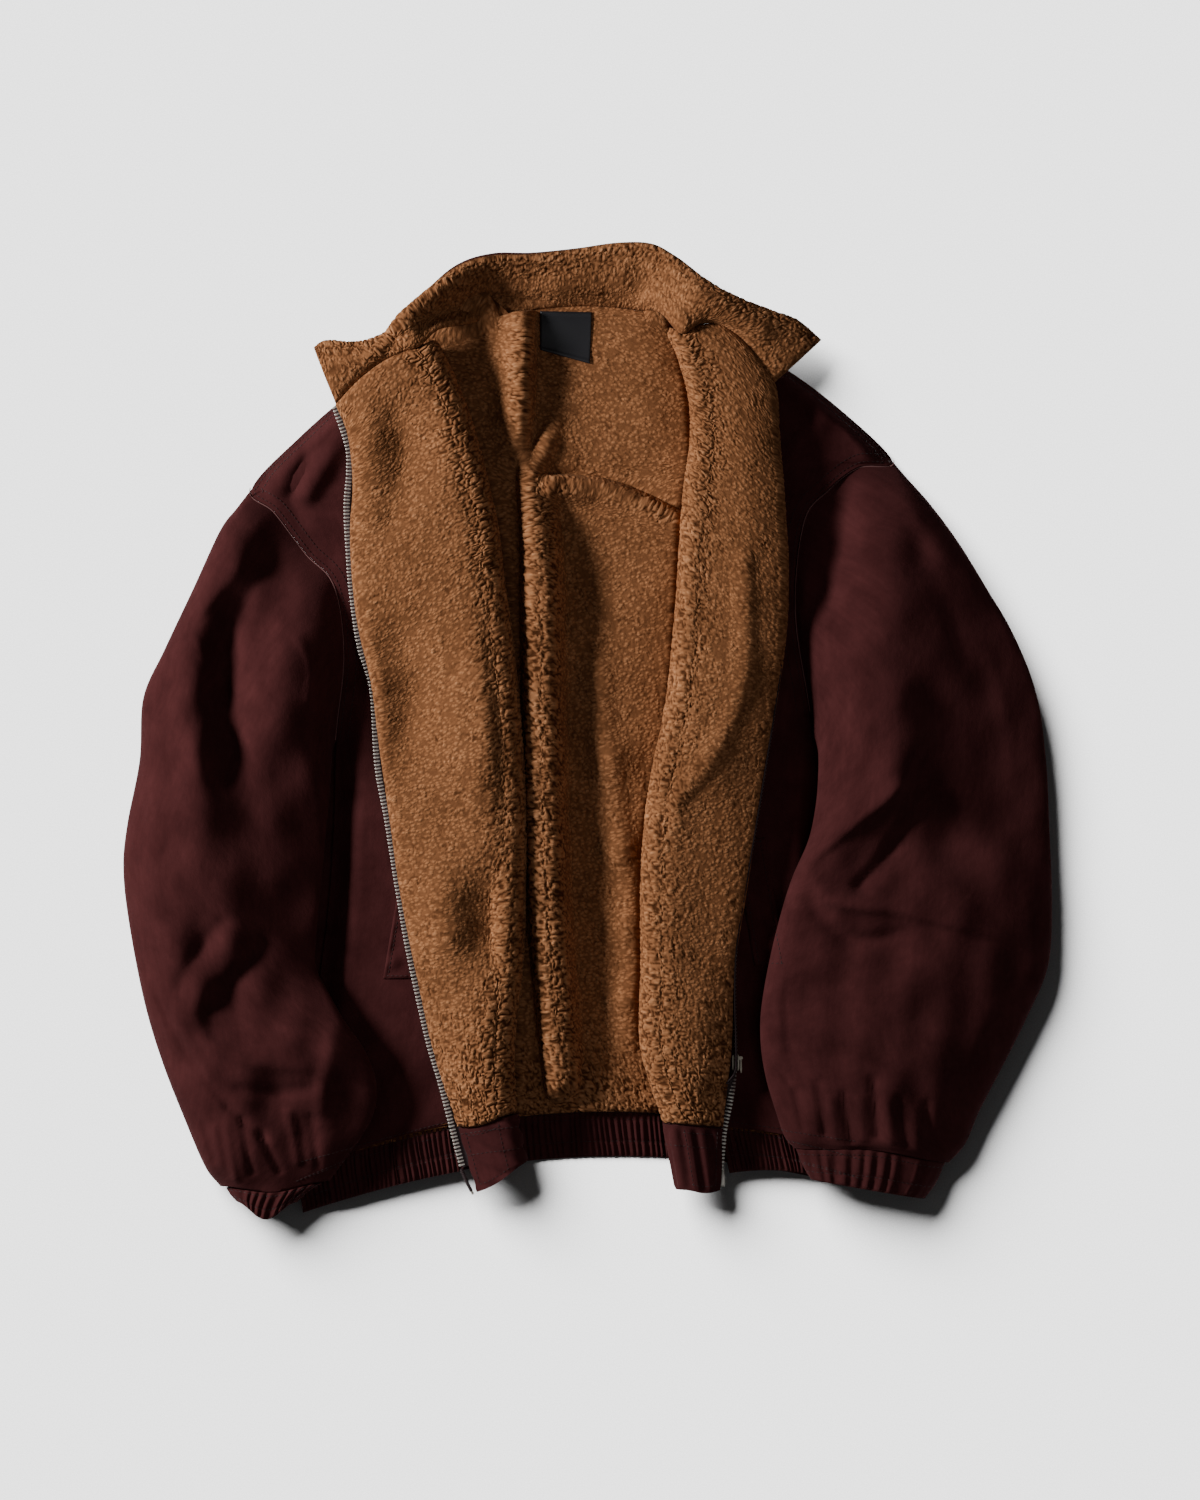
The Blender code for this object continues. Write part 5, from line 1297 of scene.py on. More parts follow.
def chain_axes(side, middles, ahead):
    """Directions of a tooth: towards the tape, along the chain, and out of its face."""
    inward = np.column_stack([-ahead[:, 1], ahead[:, 0], np.zeros(len(ahead))])
    inward = unit(inward) * TURN[side]
    angle = (0.5 * math.pi * twist(side, middles[:, 1]))[:, None]
    up = np.array([0.0, 0.0, 1.0])
    across = inward * np.cos(angle) + up * np.sin(angle)
    face = up * np.cos(angle) - inward * np.sin(angle)
    return np.stack([across, ahead, face], axis=1)


def tooth_shape():
    """Round head outside, two straight legs clamped on the tape inside."""
    head = [(-0.00135, 0.0), (-0.00125, 0.00050), (-0.0009, 0.00088), (-0.0002, 0.00098)]
    leg = [(0.0004, 0.00078), (0.0012, 0.00062), (0.0032, 0.00062), (0.0037, 0.00040)]
    half = head + leg
    outline = half + [(x, -y) for x, y in half[:0:-1]]
    return stacked(outline, ((-0.0013, 0.72), (-0.0010, 1.0), (0.0010, 1.0), (0.0013, 0.72)))


def make_chain(side):
    middles, ahead = along_line(chain_line(side), TOOTH_PITCH, 0.001)
    axes = chain_axes(side, middles, ahead)
    draw = np.random.default_rng(90)
    middles = middles + axes[:, 1] * draw.normal(0, 0.00008, (len(middles), 1))
    return copies(f"teeth_{side}", tooth_shape(), middles, axes, [f"zip_chain_{side}"], "zip_metal")


def make_tape(side):
    line = chain_line(side, 260)
    ahead = unit(np.gradient(line, axis=0))
    axes = chain_axes(side, line, ahead)
    across, face = axes[:, 0], axes[:, 2]
    columns = []
    for share in np.linspace(0, 1, 12):
        level = 0.0005 * math.sin(9 * share)
        columns.append(line + across * (0.0009 + TAPE_WIDTH * share * 0.9) + face * level)
    grid = np.stack(columns, axis=1)
    top = grid + face[:, None] * TAPE_HALF
    low = grid - face[:, None] * TAPE_HALF
    return cloth(f"tape_{side}", top, low, [f"zip_tape_{side}"])


chains = [make_chain(side) for side in SIDES]
tapes = [make_tape(side) for side in SIDES]

# %% Pin and box
PIN_ROUTE = [(-0.1007, -0.3519), (-0.0965, -0.3620), (-0.0925, -0.3700)]
PIN_LENGTH = 0.0205
RIB_PITCH = 0.0014
BOX_AT = (0.1080, -0.3599)
BOX_SIZE = (0.0052, 0.0130, 0.0040)


def mirrored(half):
    """An outline from its right-hand half."""
    return half + [(-x, y) for x, y in half[::-1]]


def rod_grid(line, radii, sides=14):
    ahead = unit(np.gradient(line, axis=0))
    across = unit(np.cross(ahead, np.array([0.0, 0.0, 1.0])))
    up = np.cross(across, ahead)
    turn = 2 * np.pi * np.arange(sides) / sides
    ring = across[:, None] * np.cos(turn)[None, :, None] + up[:, None] * np.sin(turn)[None, :, None]
    return line[:, None] + ring * np.asarray(radii)[:, None, None]


def rod_mesh(grid):
    rows, sides = grid.shape[:2]
    faces = [tuple(range(sides))[::-1], tuple(range((rows - 1) * sides, rows * sides))]
    for r in range(rows - 1):
        for c in range(sides):
            d = (c + 1) % sides
            faces.append((r * sides + c, r * sides + d, (r + 1) * sides + d, (r + 1) * sides + c))
    return grid.reshape(-1, 3), faces


def make_pin():
    """The pin's dark sleeve is ribbed, and its bare metal tip shows at the end."""
    share = np.linspace(0, 1, 90)
    plan = track(PIN_ROUTE, share * (len(PIN_ROUTE) - 1))
    line = np.column_stack([plan, np.full(len(share), CHAIN_HEIGHT)])
    ribs = 0.00135 + 0.00022 * np.cos(2 * np.pi * share * PIN_LENGTH / RIB_PITCH)
    ribs[:3] = (0.0005, 0.0011, 0.0013)
    sleeve = add_mesh("pin_sleeve", *rod_mesh(rod_grid(line, ribs)), ["zip_pin_left"], "tape")
    end = line[-1] + unit(line[-1] - line[-2]) * np.array([[0], [0.0012], [0.0026], [0.003]])
    tip_rod = rod_mesh(rod_grid(end, (0.0011, 0.0011, 0.0010, 0.0005)))
    tip = add_mesh("pin_tip", *tip_rod, None, "zip_metal")
    return sleeve, tip


def make_box_end():
    """Retainer box: a rounded shell, a step where the chain enters and a pressed groove."""
    half_wide, half_long, half_high = (size / 2 for size in BOX_SIZE)
    corners = [
        (-0.0008, -half_long),
        (0.0, -half_long + 0.0008),
        (0.0, half_long - 0.0030),
        (-0.0007, half_long - 0.0022),
        (-0.0007, half_long - 0.0003),
        (-0.0010, half_long),
    ]
    outline = mirrored([(half_wide + x, y) for x, y in corners])
    lower = [(-half_high, 0.80), (-half_high + 0.0004, 0.96), (-0.0004, 1.0)]
    levels = lower + [(0.0, 0.93)] + [(-height, scale) for height, scale in lower[::-1]]
    middles = np.array([[*BOX_AT, CHAIN_HEIGHT]])
    shape = stacked(outline, levels)
    return copies("retainer_box", shape, middles, np.eye(3)[None], ["zip_box_right"], "zip_metal")


pin_sleeve, pin_tip = make_pin()
retainer = make_box_end()

# %% [markdown]
# ## Slider and pull
# The slider stands on its edge, as the zip's edge is rolled under there: two plates joined by
# a bridge, tapering to its ends. A maker casts it in one. The pull hangs from a pin between two
# lugs and is the only hard part that swings, so it rides on its own body.

# %% Slider and its pull
SLIDER_AT = np.array([0.1190, -0.2670, CHAIN_HEIGHT])
HINGE_AT = np.array([0.1233, -0.2632, CHAIN_HEIGHT + 0.00015])


def joined(shapes):
    """Several (points, faces) shapes as one."""
    points, faces, start = [], [], 0
    for some, those in shapes:
        points.append(np.asarray(some))
        faces += [tuple(start + i for i in face) for face in those]
        start += len(some)
    return np.vstack(points), faces


def placed(shape, at, axes=((1, 0, 0), (0, 1, 0), (0, 0, 1))):
    points, faces = shape
    return points @ np.array(axes, float) + at, faces


def plate_levels(low, high, slope, scale):
    """Levels of a flat plate whose edges are sloped off by this much on both faces."""
    return (low, scale), (low + slope, 1.0), (high - slope, 1.0), (high, scale)


def make_slider():
    """Body with two plates and a bridge, two lugs above it and the pull's pin through them."""
    along_y = [(1, 0, 0), (0, 0, 1), (0, 1, 0)]
    outline = [(-0.0028, -0.0029), (0.0028, -0.0029), (0.0028, 0.0032), (0.00185, 0.0032)]
    outline += [(0.00185, -0.0019), (-0.00185, -0.0019), (-0.00185, 0.0019), (-0.0028, 0.0019)]
    lower = [(-0.00625, 0.80), (-0.0057, 0.93), (-0.0042, 1.0)]
    levels = lower + [(-height, scale) for height, scale in lower[::-1]]
    shapes = [placed(stacked(outline, levels), SLIDER_AT, along_y)]
    turn = np.linspace(-0.5 * np.pi, 0.5 * np.pi, 9)
    lug = [(-0.0019, -0.0014), (0.0002, -0.0014)]
    lug += [(0.0002 + 0.0012 * np.cos(a), 0.0014 * np.sin(a)) for a in turn]
    lug += [(0.0002, 0.0014), (-0.0019, 0.0014)]
    for low in (-0.00305, 0.00205):
        plate = stacked(lug, plate_levels(low, low + 0.0010, 0.0002, 0.90))
        shapes.append(placed(plate, HINGE_AT))
    pin = np.column_stack([np.zeros(6), np.zeros(6), np.linspace(-0.0031, 0.0031, 6)]) + HINGE_AT
    shapes.append(rod_mesh(upright_rod(pin, (0.0003, 0.0005, 0.0005, 0.0005, 0.0005, 0.0003))))
    return add_mesh("slider", *joined(shapes), ["zip_slider"], "zip_metal")


def upright_rod(line, radii, sides=12):
    turn = 2 * np.pi * np.arange(sides) / sides
    ring = np.column_stack([np.cos(turn), np.sin(turn), np.zeros(sides)])
    return line[:, None] + ring * np.asarray(radii)[:, None, None]


def make_pull():
    """A barrel round the pin and a slim tab with three grip ribs on each face."""
    turn = np.linspace(0, np.pi, 13)
    barrel = [(-0.00110 * np.cos(a), 0.00110 * np.sin(a)) for a in turn]
    side = [(0.00065, -0.0009), (0.00050, -0.0030), (0.00060, -0.0060)]
    side += [(0.00065, -0.0090), (0.00060, -0.0112), (0.00035, -0.0120)]
    tab = stacked(barrel + mirrored(side), plate_levels(-0.0017, 0.0017, 0.0003, 0.90))
    shapes = [placed(tab, HINGE_AT)]
    corners = [(-0.00022, -0.00018), (0.00022, -0.00018), (0.00022, 0.00018), (-0.00022, 0.00018)]
    rib = stacked(corners, plate_levels(-0.0012, 0.0012, 0.0002, 0.7))
    for y in (-0.0082, -0.0090, -0.0098):
        for x in (-0.00062, 0.00062):
            shapes.append(placed(rib, HINGE_AT + np.array([x, y, 0.0])))
    return add_mesh("pull_tab", *joined(shapes), ["zip_pull"], "zip_metal", body="pull")


slider = make_slider()
pull = make_pull()

# %% [markdown]
# ## Label and pocket welts
# The neck label is a plain black woven tab sewn along its sides; it carries no text here. Each
# front has a slanted welt pocket: a folded strip of canvas, stitched down all round.

# %% Label and welts
LABEL_CORNERS = ((-0.0376, 0.3352), (0.0040, 0.3344), (0.0024, 0.2928), (-0.0376, 0.3040))
WELTS = {
    "left": ((-0.1500, -0.1210), (-0.1635, -0.2000), 0.0240),
    "right": ((0.1424, -0.0870), (0.1600, -0.1900), -0.0260),
}
WELT_LOW = LAID_HEIGHT + CANVAS + 1.5 * LAYER
WELT_LENGTH = 0.09
WELT_SEWN = (0.16, 0.84)  # its long stitch lines, as shares of its width
WELT_ENDS = (0.03, 0.97)  # its short ones, as shares of its length
WELT_THICK, STITCH_DIP = 0.0011, 0.0005
LABEL_ROW = 0.5
LABEL_LOW = BACK_FLEECE_LOW + 0.0066  # on top of the flattened pile
LABEL_THIN, LABEL_HEM = 0.0006, 0.0004  # its cloth, and what the turned edges add


def to_rim(share):
    """Share from the nearer of two opposite rims."""
    return np.minimum(share, 1 - share)


def make_label():
    """Woven tab with its top and bottom turned under, which makes them a little thicker."""
    a, b, c, d = (np.array(p) for p in LABEL_CORNERS)
    v, u = mesh_rows(48, 48)
    across = u[..., None]
    plan = (a * (1 - across) + b * across) * (1 - v)[..., None]
    plan = plan + (d * (1 - across) + c * across) * v[..., None]
    rise = back_relief(np.full(u.shape, LABEL_ROW), plan)
    low = LABEL_LOW + 0.35 * rise + 0.39 * rise.max()
    low = low + 0.0005 * np.sin(5.2 * u + 1.3 * v) + 0.0004 * np.sin(7 * v)
    hem = smooth((0.09 - to_rim(v)) / 0.02)
    edge = smooth(np.minimum(to_rim(u), to_rim(v)) / 0.02)
    over = np.dstack([plan, low + (LABEL_THIN + LABEL_HEM * hem) * (0.4 + 0.6 * edge)])
    under = np.dstack([plan, low])
    return cloth("woven_label", over, under, ["label"])


def welt_plan(side, down, along):
    """Points of a welt by shares of its length and width."""
    top, bottom, width = WELTS[side]
    top, bottom = np.array(top), np.array(bottom)
    down, along = np.broadcast_arrays(down, along)
    return top + (bottom - top) * down[..., None] + np.array([width, 0.0]) * along[..., None]


def make_welt(side):
    width = WELTS[side][2]
    v, u = mesh_rows(60, 22)
    plan = welt_plan(side, v, u)
    edge = smooth(np.minimum(to_rim(u) * abs(width), to_rim(v) * WELT_LENGTH) / 0.0012)
    sewn = sum(bell((u - at) * width, 0.0008) for at in WELT_SEWN)
    puff = 0.0003 * np.sin(v * 31 + 3 * u) * edge
    puff = puff + 0.00025 * waves(plan[..., 0], plan[..., 1], 0.015, 83)
    low = np.full(u.shape, WELT_LOW)
    over = low + 0.0005 + (WELT_THICK - STITCH_DIP * sewn + puff) * edge
    outer, inner = np.dstack([plan, over]), np.dstack([plan, low])
    return cloth(f"canvas_welt_{side}", outer, inner, [f"pocket_welt_{side}"])


label = make_label()
canvas_pieces += [make_welt(side) for side in SIDES]

# %% [markdown]
# ## Stitches and seam edges
# The machine sews about three stitches a centimetre here. Each stitch is a short thread, thick
# in its middle, dropped onto whatever canvas lies below it. Armholes, shoulders, pockets, hem
# band and cuffs are double-stitched, and a fine ridge painted pale runs along the armhole seam,
# for rubbed wear with a painted highlight on it.

# %% Stitches
STITCH = 0.0036
STITCH_LENGTH = 0.0027
THREAD = 0.00030
THREAD_SUNK = 0.00022  # a stitch's ends dip by this much, and its middle stands up by it
STEEPEST = 0.25  # stitches are left out where the canvas is steeper than this
ABOVE = 0.2  # height from which points are dropped onto the cloth
ARMHOLE_STITCHES = (0.0030, 0.0095)  # distances from the seam
SHOULDER_STITCHES = (0.0045, 0.0110)
CUFF_STITCHES = (0.25, 1.25)  # rows of the cuff's table
HEM_STITCHES = 0.004  # above the hem band
END_STITCHES = (0.12, 0.90)  # shares of the turned width


def surface_tree(things):
    points, faces, start = [], [], 0
    for thing in things:
        mesh = thing.data
        some = np.zeros(3 * len(mesh.vertices))
        mesh.vertices.foreach_get("co", some)
        points += some.reshape(-1, 3).tolist()
        faces += [[start + i for i in face.vertices] for face in mesh.polygons]
        start += len(mesh.vertices)
    return BVHTree.FromPolygons(points, faces)


def drop(tree, x, y):
    """Where a plumb line from above first meets the cloth: point, normal, face and distance."""
    return tree.ray_cast(Vector((x, y, ABOVE)), Vector((0, 0, -1)))


def stitch_shape():
    """A short five-sided thread, thick in the middle and dipping at both ends."""
    half = STITCH_LENGTH / 2
    line = np.column_stack([np.zeros(4), np.linspace(-half, half, 4), np.zeros(4)])
    line[[0, -1], 2] = -THREAD_SUNK
    return rod_mesh(rod_grid(line, THREAD * np.array([0.45, 1.0, 1.0, 0.45]), 5))


def stitch_rows(name, lines, top, cover):
    """Threads along plan lines, dropped on the canvas tree `top` where `cover` isn't above it."""
    middles, axes = [], []
    for line in lines:
        spots, ahead = along_line(np.asarray(line, float), STITCH)
        for (x, y), (ax, ay) in zip(spots, ahead):
            hit, normal, _, reach = drop(top, x, y)
            hidden = drop(cover, x, y)[3]
            if hit is None or normal.z < STEEPEST or (hidden is not None and hidden < reach):
                continue
            up = np.array(normal)
            forward = unit(np.array([ax, ay, 0.0]) - up * (ax * up[0] + ay * up[1]))
            middles.append(np.array(hit) + up * THREAD_SUNK)
            axes.append([np.cross(forward, up), forward, up])
    return copies(name, stitch_shape(), np.array(middles), np.array(axes), None, "canvas")


def armhole_line(side, offset):
    """The armhole seam moved by `offset` towards the body."""
    plan = row_points(side, np.linspace(SHOULDER_ROW, UNDERARM_ROW, 120))[0]
    ahead = unit(np.gradient(plan, axis=0))
    inward = np.column_stack([-ahead[:, 1], ahead[:, 0]]) * TURN[side]
    return plan + inward * offset


def shoulder_line(side, offset):
    rows = np.linspace(0.6, SHOULDER_ROW, 60)
    seam, fold = row_points(side, rows)[:2]
    return seam + unit(fold - seam) * offset


def band_line(part, down):
    along = np.linspace(0, 1, 200)
    return band_base(part, np.full(len(along), down), along)[0]


def cuff_line(side, at):
    return ring_plan(side, track(CUFF_RINGS[side], at), np.linspace(0.01, 0.99, 120), 0.0)


def hem_seam_line(side, lift):
    """Topstitching on the front, just above the hem band."""
    rows = np.full(120, HEM_ROW - lift / 0.030)
    seam, fold = row_points(side, rows)[:2]
    return seam + (fold - seam) * np.linspace(0.02, 0.93, 120)[:, None]


def welt_lines(side):
    lines = [welt_plan(side, np.linspace(*WELT_ENDS, 40), u) for u in WELT_SEWN]
    return lines + [welt_plan(side, v, np.linspace(*WELT_SEWN, 12)) for v in WELT_ENDS]


def end_lines(side):
    """Around the ungathered end of the hem band, where it is turned with the front."""
    def plan(rows, shares):
        return front_surface(side, rows, (), (), (), shares, inset=PLAIN_END_HALF)[..., :2]

    rows = np.linspace(HEM_ROW + 0.10, END_ROW - 0.10, 30)
    lines = [plan(rows, (share,))[:, 0] for share in END_STITCHES]
    for row in (HEM_ROW + 0.12, END_ROW - 0.10):
        lines.append(plan(np.array([row]), np.linspace(*END_STITCHES, 30))[0])
    return lines


canvas_tree = surface_tree(canvas_pieces)
fleece_tree = surface_tree(fleece_pieces)
stitch_lines = [band_line("back", down) for down in SEWN_DOWN]
for side in SIDES:
    stitch_lines += [armhole_line(side, offset) for offset in ARMHOLE_STITCHES]
    stitch_lines += [shoulder_line(side, offset) for offset in SHOULDER_STITCHES]
    stitch_lines += [band_line(side, down) for down in SEWN_DOWN]
    stitch_lines += [cuff_line(side, at) for at in CUFF_STITCHES]
    stitch_lines += [hem_seam_line(side, HEM_STITCHES)] + welt_lines(side) + end_lines(side)
stitches = stitch_rows("stitches", stitch_lines, canvas_tree, fleece_tree)


# %% Pale edges of the armhole seams: rubbed wear with a painted highlight
EDGE_OFFSET = -0.0009  # on the sleeve's side of the armhole
EDGE_RADIUS = 0.00055
HEIGHT_OFF_CLOTH = 0.018  # where the line leaves the cloth


def make_seam_edge(side):
    """The folded edge of the sleeve's seam: a fine round ridge painted pale, for rubbed wear with a painted
    highlight on it.
    """
    line = []
    for x, y in armhole_line(side, EDGE_OFFSET):
        hit = drop(canvas_tree, x, y)[0]
        line.append([x, y, hit.z if hit is not None else HEIGHT_OFF_CLOTH])
    line = np.array(line)
    line[:, 2] = np.convolve(np.pad(line[:, 2], 4, mode="edge"), np.ones(9) / 9, mode="valid")
    radii = EDGE_RADIUS * (0.55 + 0.45 * np.abs(np.sin(np.linspace(0, 9, len(line)))))
    return add_mesh(f"seam_edge_{side}", *rod_mesh(rod_grid(line, radii, 8)), None, "canvas")


seam_edges = [make_seam_edge(side) for side in SIDES]

# %% [markdown]
# ## Camera, floor and light
# The photograph looks straight down from far away, with the jacket's middle at the picture's
# middle. One millimetre is one and a quarter pixels of its 1200. The jacket is lit by one low,
# soft lamp from the left, which gives the deep folds their shape, and by a weak fill. The floor
# has a broad lamp of its own, so that it stays even and pale under a shadow that still falls.

# %% Camera
PIXEL = 0.0008
CAMERA_HEIGHT = 6.0
REFERENCE_HEIGHT = 0.025
MIDDLE = (0.0104, -0.0168)
PICTURE_ROWS = 1500
SENSOR = 24.0  # mm

camera_data = bpy.data.cameras.new("camera")
camera_data.sensor_fit = "VERTICAL"
camera_data.sensor_height = SENSOR
camera_data.lens = SENSOR * (CAMERA_HEIGHT - REFERENCE_HEIGHT) / (PICTURE_ROWS * PIXEL)
camera_data.clip_end = 50.0
camera = put("camera", camera_data)
camera.location = (*MIDDLE, CAMERA_HEIGHT)
bpy.context.scene.camera = camera
print(f"lens {camera_data.lens:.1f} mm")


# %% Floor and lamps
FLOOR_HALF = 6.0
FLOOR_DROP = -0.0002  # just below the cloth
KEY_WAY = (-0.88, 0.28, 0.400)
KEY_DISTANCE = 3.0
FILL_PLACE = (1.0, -0.5, 2.8)
FLOOR_WAY = (-0.62, 0.72, 0.64)
ROOM_LIGHT = 0.035


def make_floor():
    mesh = bpy.data.meshes.new("floor")
    corners = [(x * FLOOR_HALF, y * FLOOR_HALF, 0) for x, y in ((-1, -1), (1, -1), (1, 1), (-1, 1))]
    mesh.from_pydata(corners, [], [(0, 1, 2, 3)])
    floor = put("floor", mesh)
    floor.location.z = FLOOR_DROP
    floor.visible_diffuse = False
    return floor


def aim(lamp, way):
    """Turn a lamp so that it shines from this direction towards the middle."""
    lamp.rotation_euler = Vector(way).to_track_quat("Z", "Y").to_euler()


def make_lamp(name, place, size, power, colour=(1, 1, 1)):
    data = bpy.data.lights.new(name, "AREA")
    data.shape = "DISK"
    data.size = size
    data.energy = power
    data.color = colour
    lamp = put(name, data)
    lamp.location = place
    aim(lamp, place)
    return lamp


def light_only(lamp, name, state):
    """The lamp lights only the floor (INCLUDE) or all but the floor (EXCLUDE)."""
    group = bpy.data.collections.new(name)
    group.objects.link(floor)
    group.collection_objects[0].light_linking.link_state = state
    lamp.light_linking.receiver_collection = group


def make_sky(way, strength, angle):
    """A broad even source, so far off that it lights the whole floor alike."""
    data = bpy.data.lights.new("floor_lamp", "SUN")
    data.energy = strength
    data.angle = math.radians(angle)
    lamp = put("floor_lamp", data)
    aim(lamp, way)
    return lamp


floor = make_floor()
key_place = tuple(unit(np.array(KEY_WAY)) * KEY_DISTANCE)
key = make_lamp("key", key_place, size=0.7, power=120.0, colour=(1.0, 0.97, 0.95))
light_only(key, "key_off_floor", "EXCLUDE")
fill = make_lamp("fill", FILL_PLACE, size=2.4, power=8.5)
light_only(fill, "fill_off_floor", "EXCLUDE")
floor_lamp = make_sky(FLOOR_WAY, strength=19.0, angle=40)
light_only(floor_lamp, "floor_only", "INCLUDE")
world = bpy.data.worlds.new("room")
bpy.context.scene.world = world
world.use_nodes = True
background = world.node_tree.nodes["Background"].inputs
background["Color"].default_value = (1, 1, 1, 1)
background["Strength"].default_value = ROOM_LIGHT
print("lamps:", key.name, fill.name, floor_lamp.name)


# %% [markdown]
# ## Finishes
# Canvas is dark red, brushed and washed; its seam edges are painted paler, for rubbed wear with a
# painted highlight. Fleece is tan with a painted highlight on its curls and brown painted shade in
# its gaps, and the stored pile height paints both.

# %% Node helpers
def new_material(name):
    material = bpy.data.materials.new(name)
    material.use_nodes = True
    tree = material.node_tree
    return material, tree, tree.nodes["Principled BSDF"]


def add_node(tree, kind, **settings):
    made = tree.nodes.new(kind)
    for key, value in settings.items():
        if key in made.inputs.keys():
            made.inputs[key].default_value = value
        else:
            setattr(made, key, value)
    return made


def set_inputs(node, values):
    for name, value in values.items():
        node.inputs[name].default_value = value


def flat_coordinates(tree):
    return add_node(tree, "ShaderNodeAttribute", attribute_name="flat").outputs["Vector"]


def ramp(tree, value, stops):
    made = tree.nodes.new("ShaderNodeValToRGB")
    while len(made.color_ramp.elements) < len(stops):
        made.color_ramp.elements.new(0.5)
    for element, (place, colour) in zip(made.color_ramp.elements, stops):
        element.position = place
        element.color = (*colour, 1.0)
    tree.links.new(value, made.inputs["Fac"])
    return made.outputs["Color"]


def noise(tree, vector, scale, detail, roughness=0.55):
    made = add_node(tree, "ShaderNodeTexNoise", Scale=scale, Detail=detail, Roughness=roughness)
    tree.links.new(vector, made.inputs["Vector"])
    return made.outputs["Fac"]


def stretched(tree, vector, scale, turn=0.0):
    """The coordinates scaled, and turned in the cloth's plane."""
    made = add_node(tree, "ShaderNodeMapping", Scale=scale, Rotation=(0.0, 0.0, turn))
    tree.links.new(vector, made.inputs["Vector"])
    return made.outputs["Vector"]


def blend_colour(tree, kind, factor, first, second):
    made = tree.nodes.new("ShaderNodeMix")
    made.data_type = "RGBA"
    made.blend_type = kind
    for value, socket in ((factor, made.inputs[0]), (first, made.inputs[6]), (second, made.inputs[7])):
        if isinstance(value, (int, float)):
            socket.default_value = value
        elif isinstance(value, tuple):
            socket.default_value = (*value, 1.0)
        else:
            tree.links.new(value, socket)
    return made.outputs[2]


def bump(tree, shader, height, distance, strength=1.0, below=None):
    made = add_node(tree, "ShaderNodeBump", Distance=distance, Strength=strength)
    tree.links.new(height, made.inputs["Height"])
    if below is not None:
        tree.links.new(below, made.inputs["Normal"])
    tree.links.new(made.outputs["Normal"], shader.inputs["Normal"])
    return made.outputs["Normal"]


# %% Fleece
# painted shade: the colour deep in the gaps between the curls
PILE_GAP_SHADE = (0.098, 0.036, 0.014)  # deep in the gaps
PILE_MIDDLE = (0.375, 0.162, 0.070)
# painted highlight: the colour on top of the curls
PILE_TOP_HIGHLIGHT = (0.560, 0.270, 0.128)  # on top of the curls


def warped(tree, vector, scale, amount):
    """The same coordinates pushed about by a soft noise."""
    push = add_node(tree, "ShaderNodeTexNoise", Scale=scale, Detail=1.0)
    tree.links.new(vector, push.inputs["Vector"])
    made = add_node(tree, "ShaderNodeVectorMath", operation="MULTIPLY_ADD")
    tree.links.new(push.outputs["Color"], made.inputs[0])
    made.inputs[1].default_value = (amount, amount, 0.0)
    tree.links.new(vector, made.inputs[2])
    return made.outputs["Vector"]


def fleece_finish():
    material, tree, shader = new_material("sherpa_fleece")
    flat = flat_coordinates(tree)
    pile = add_node(tree, "ShaderNodeAttribute", attribute_name="pile").outputs["Fac"]
    slanted = stretched(tree, warped(tree, flat, 300.0, 0.0022), (270.0, 390.0, 1.0), -0.65)
    grain = add_node(tree, "ShaderNodeTexVoronoi", feature="F1", Scale=1.0)
    tree.links.new(slanted, grain.inputs["Vector"])
    # Pale cell middles paint a highlight on the curl tops and dark rims paint shade in the gaps; the same
    # cells also drive the bump
    tops = ramp(tree, grain.outputs["Distance"], [(0.12, (1, 1, 1)), (0.62, (0, 0, 0))])
    both = blend_colour(tree, "MIX", 0.36, pile, tops)
    # pile height and cells together give painted shade in the gaps and a painted highlight on the curls
    tone = ramp(tree, both, [(0.14, PILE_GAP_SHADE), (0.50, PILE_MIDDLE), (0.86, PILE_TOP_HIGHLIGHT)])
    mottle = noise(tree, flat, 24.0, 4.0)
    patchy = ramp(tree, mottle, [(0.32, (0.80, 0.77, 0.74)), (0.66, (1.10, 1.09, 1.08))])
    tone = blend_colour(tree, "MULTIPLY", 1.0, tone, patchy)
    tree.links.new(tone, shader.inputs["Base Color"])
    set_inputs(shader, {
        "Roughness": 0.95,
        "Specular IOR Level": 0.05,
        "Sheen Weight": 0.10,
        "Sheen Roughness": 0.5,
        "Sheen Tint": (0.80, 0.50, 0.28, 1.0),
    })
    below = bump(tree, shader, tops, 0.0010, 0.55)
    bump(tree, shader, noise(tree, flat, 1500.0, 2.0, 0.6), 0.0004, 0.5, below)
    return material


# %% Canvas
CANVAS_DARK = (0.050, 0.0125, 0.0130)
CANVAS_PALE = (0.080, 0.0215, 0.0220)


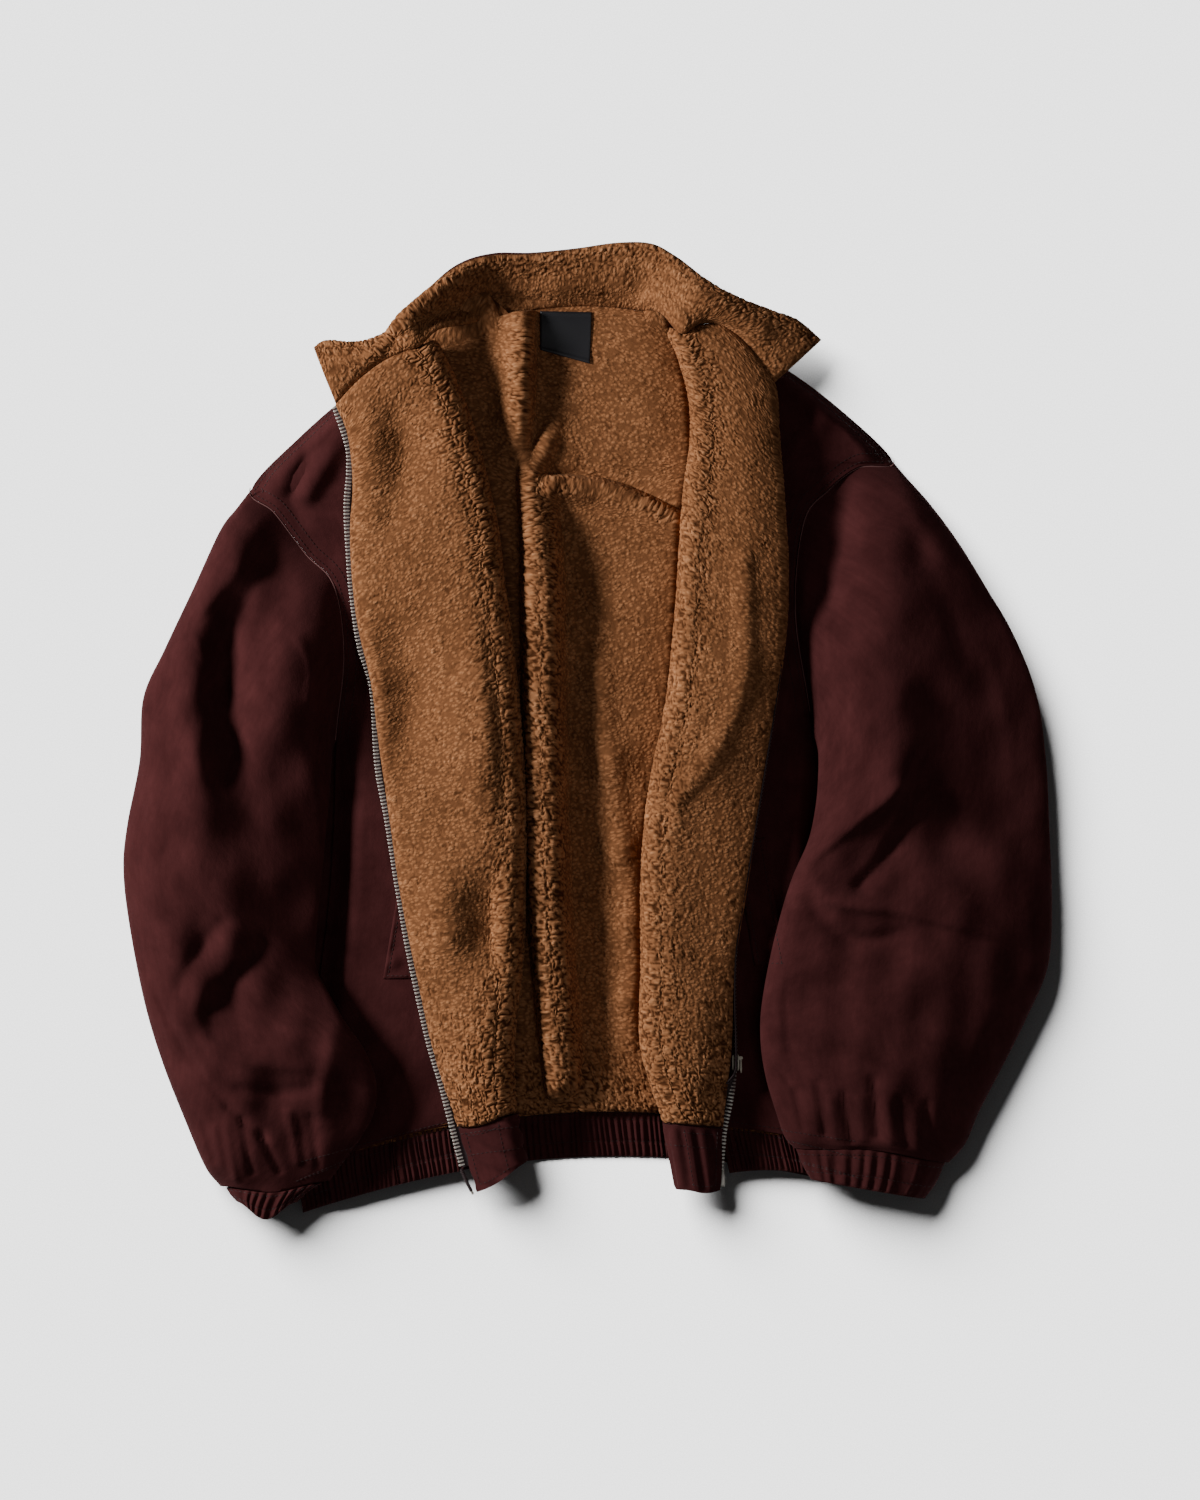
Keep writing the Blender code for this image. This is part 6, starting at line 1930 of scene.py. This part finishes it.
def canvas_finish():
    material, tree, shader = new_material("washed_canvas")
    flat = flat_coordinates(tree)
    streaks = noise(tree, stretched(tree, flat, (210.0, 45.0, 1.0)), 1.0, 4.0, 0.6)
    mottle = noise(tree, flat, 30.0, 5.0, 0.62)
    tone = ramp(tree, mottle, [(0.32, CANVAS_DARK), (0.68, CANVAS_PALE)])
    lines = ramp(tree, streaks, [(0.3, (0.90, 0.89, 0.89)), (0.7, (1.09, 1.10, 1.10))])
    tone = blend_colour(tree, "MULTIPLY", 1.0, tone, lines)
    tree.links.new(tone, shader.inputs["Base Color"])
    set_inputs(shader, {
        "Roughness": 0.9,
        "Specular IOR Level": 0.06,
        "Sheen Weight": 0.06,
        "Sheen Roughness": 0.55,
        "Sheen Tint": (0.60, 0.34, 0.34, 1.0),
    })
    below = bump(tree, shader, noise(tree, flat, 160.0, 4.0, 0.6), 0.0011, 0.30)
    weave = noise(tree, stretched(tree, flat, (1900.0, 900.0, 1.0)), 1.0, 2.0)
    bump(tree, shader, weave, 0.0003, 0.55, below)
    return material


# %% Plain finishes, and which piece gets which
def plain_finish(name, colour, roughness, metallic=0.0):
    material, tree, shader = new_material(name)
    where = tree.nodes.new("ShaderNodeTexCoord").outputs["Object"]
    speck = noise(tree, where, 900.0, 2.0)
    dark = tuple(0.85 * c for c in colour)
    tone = ramp(tree, speck, [(0.3, dark), (0.7, colour)])
    tree.links.new(tone, shader.inputs["Base Color"])
    set_inputs(shader, {"Roughness": roughness, "Metallic": metallic})
    return material


FINISHES = (
    (fleece_finish(), fleece_pieces),
    (canvas_finish(), canvas_pieces),
    (plain_finish("zip_nickel", (0.62, 0.58, 0.52), 0.35, 0.45), (*chains, pin_tip, retainer)),
    (plain_finish("worn_nickel", (0.62, 0.56, 0.44), 0.42, 0.25), (slider, pull)),
    (plain_finish("zip_tape", (0.035, 0.018, 0.020), 0.85), (*tapes, pin_sleeve)),
    (plain_finish("label_satin", (0.016, 0.016, 0.020), 0.45), (label,)),
    (plain_finish("thread", (0.030, 0.0085, 0.0090), 0.7), (stitches,)),
    # pale colour of the armhole seam edges: rubbed wear with a painted highlight
    (plain_finish("seam_edge_wear_and_highlight", (0.22, 0.095, 0.092), 0.9), seam_edges),
    (plain_finish("pale_paper", (0.86, 0.86, 0.86), 0.9), (floor,)),
)
for finish, things in FINISHES:
    for thing in things:
        thing.data.materials.append(finish)
    print(f"{finish.name}: {len(things)} pieces")
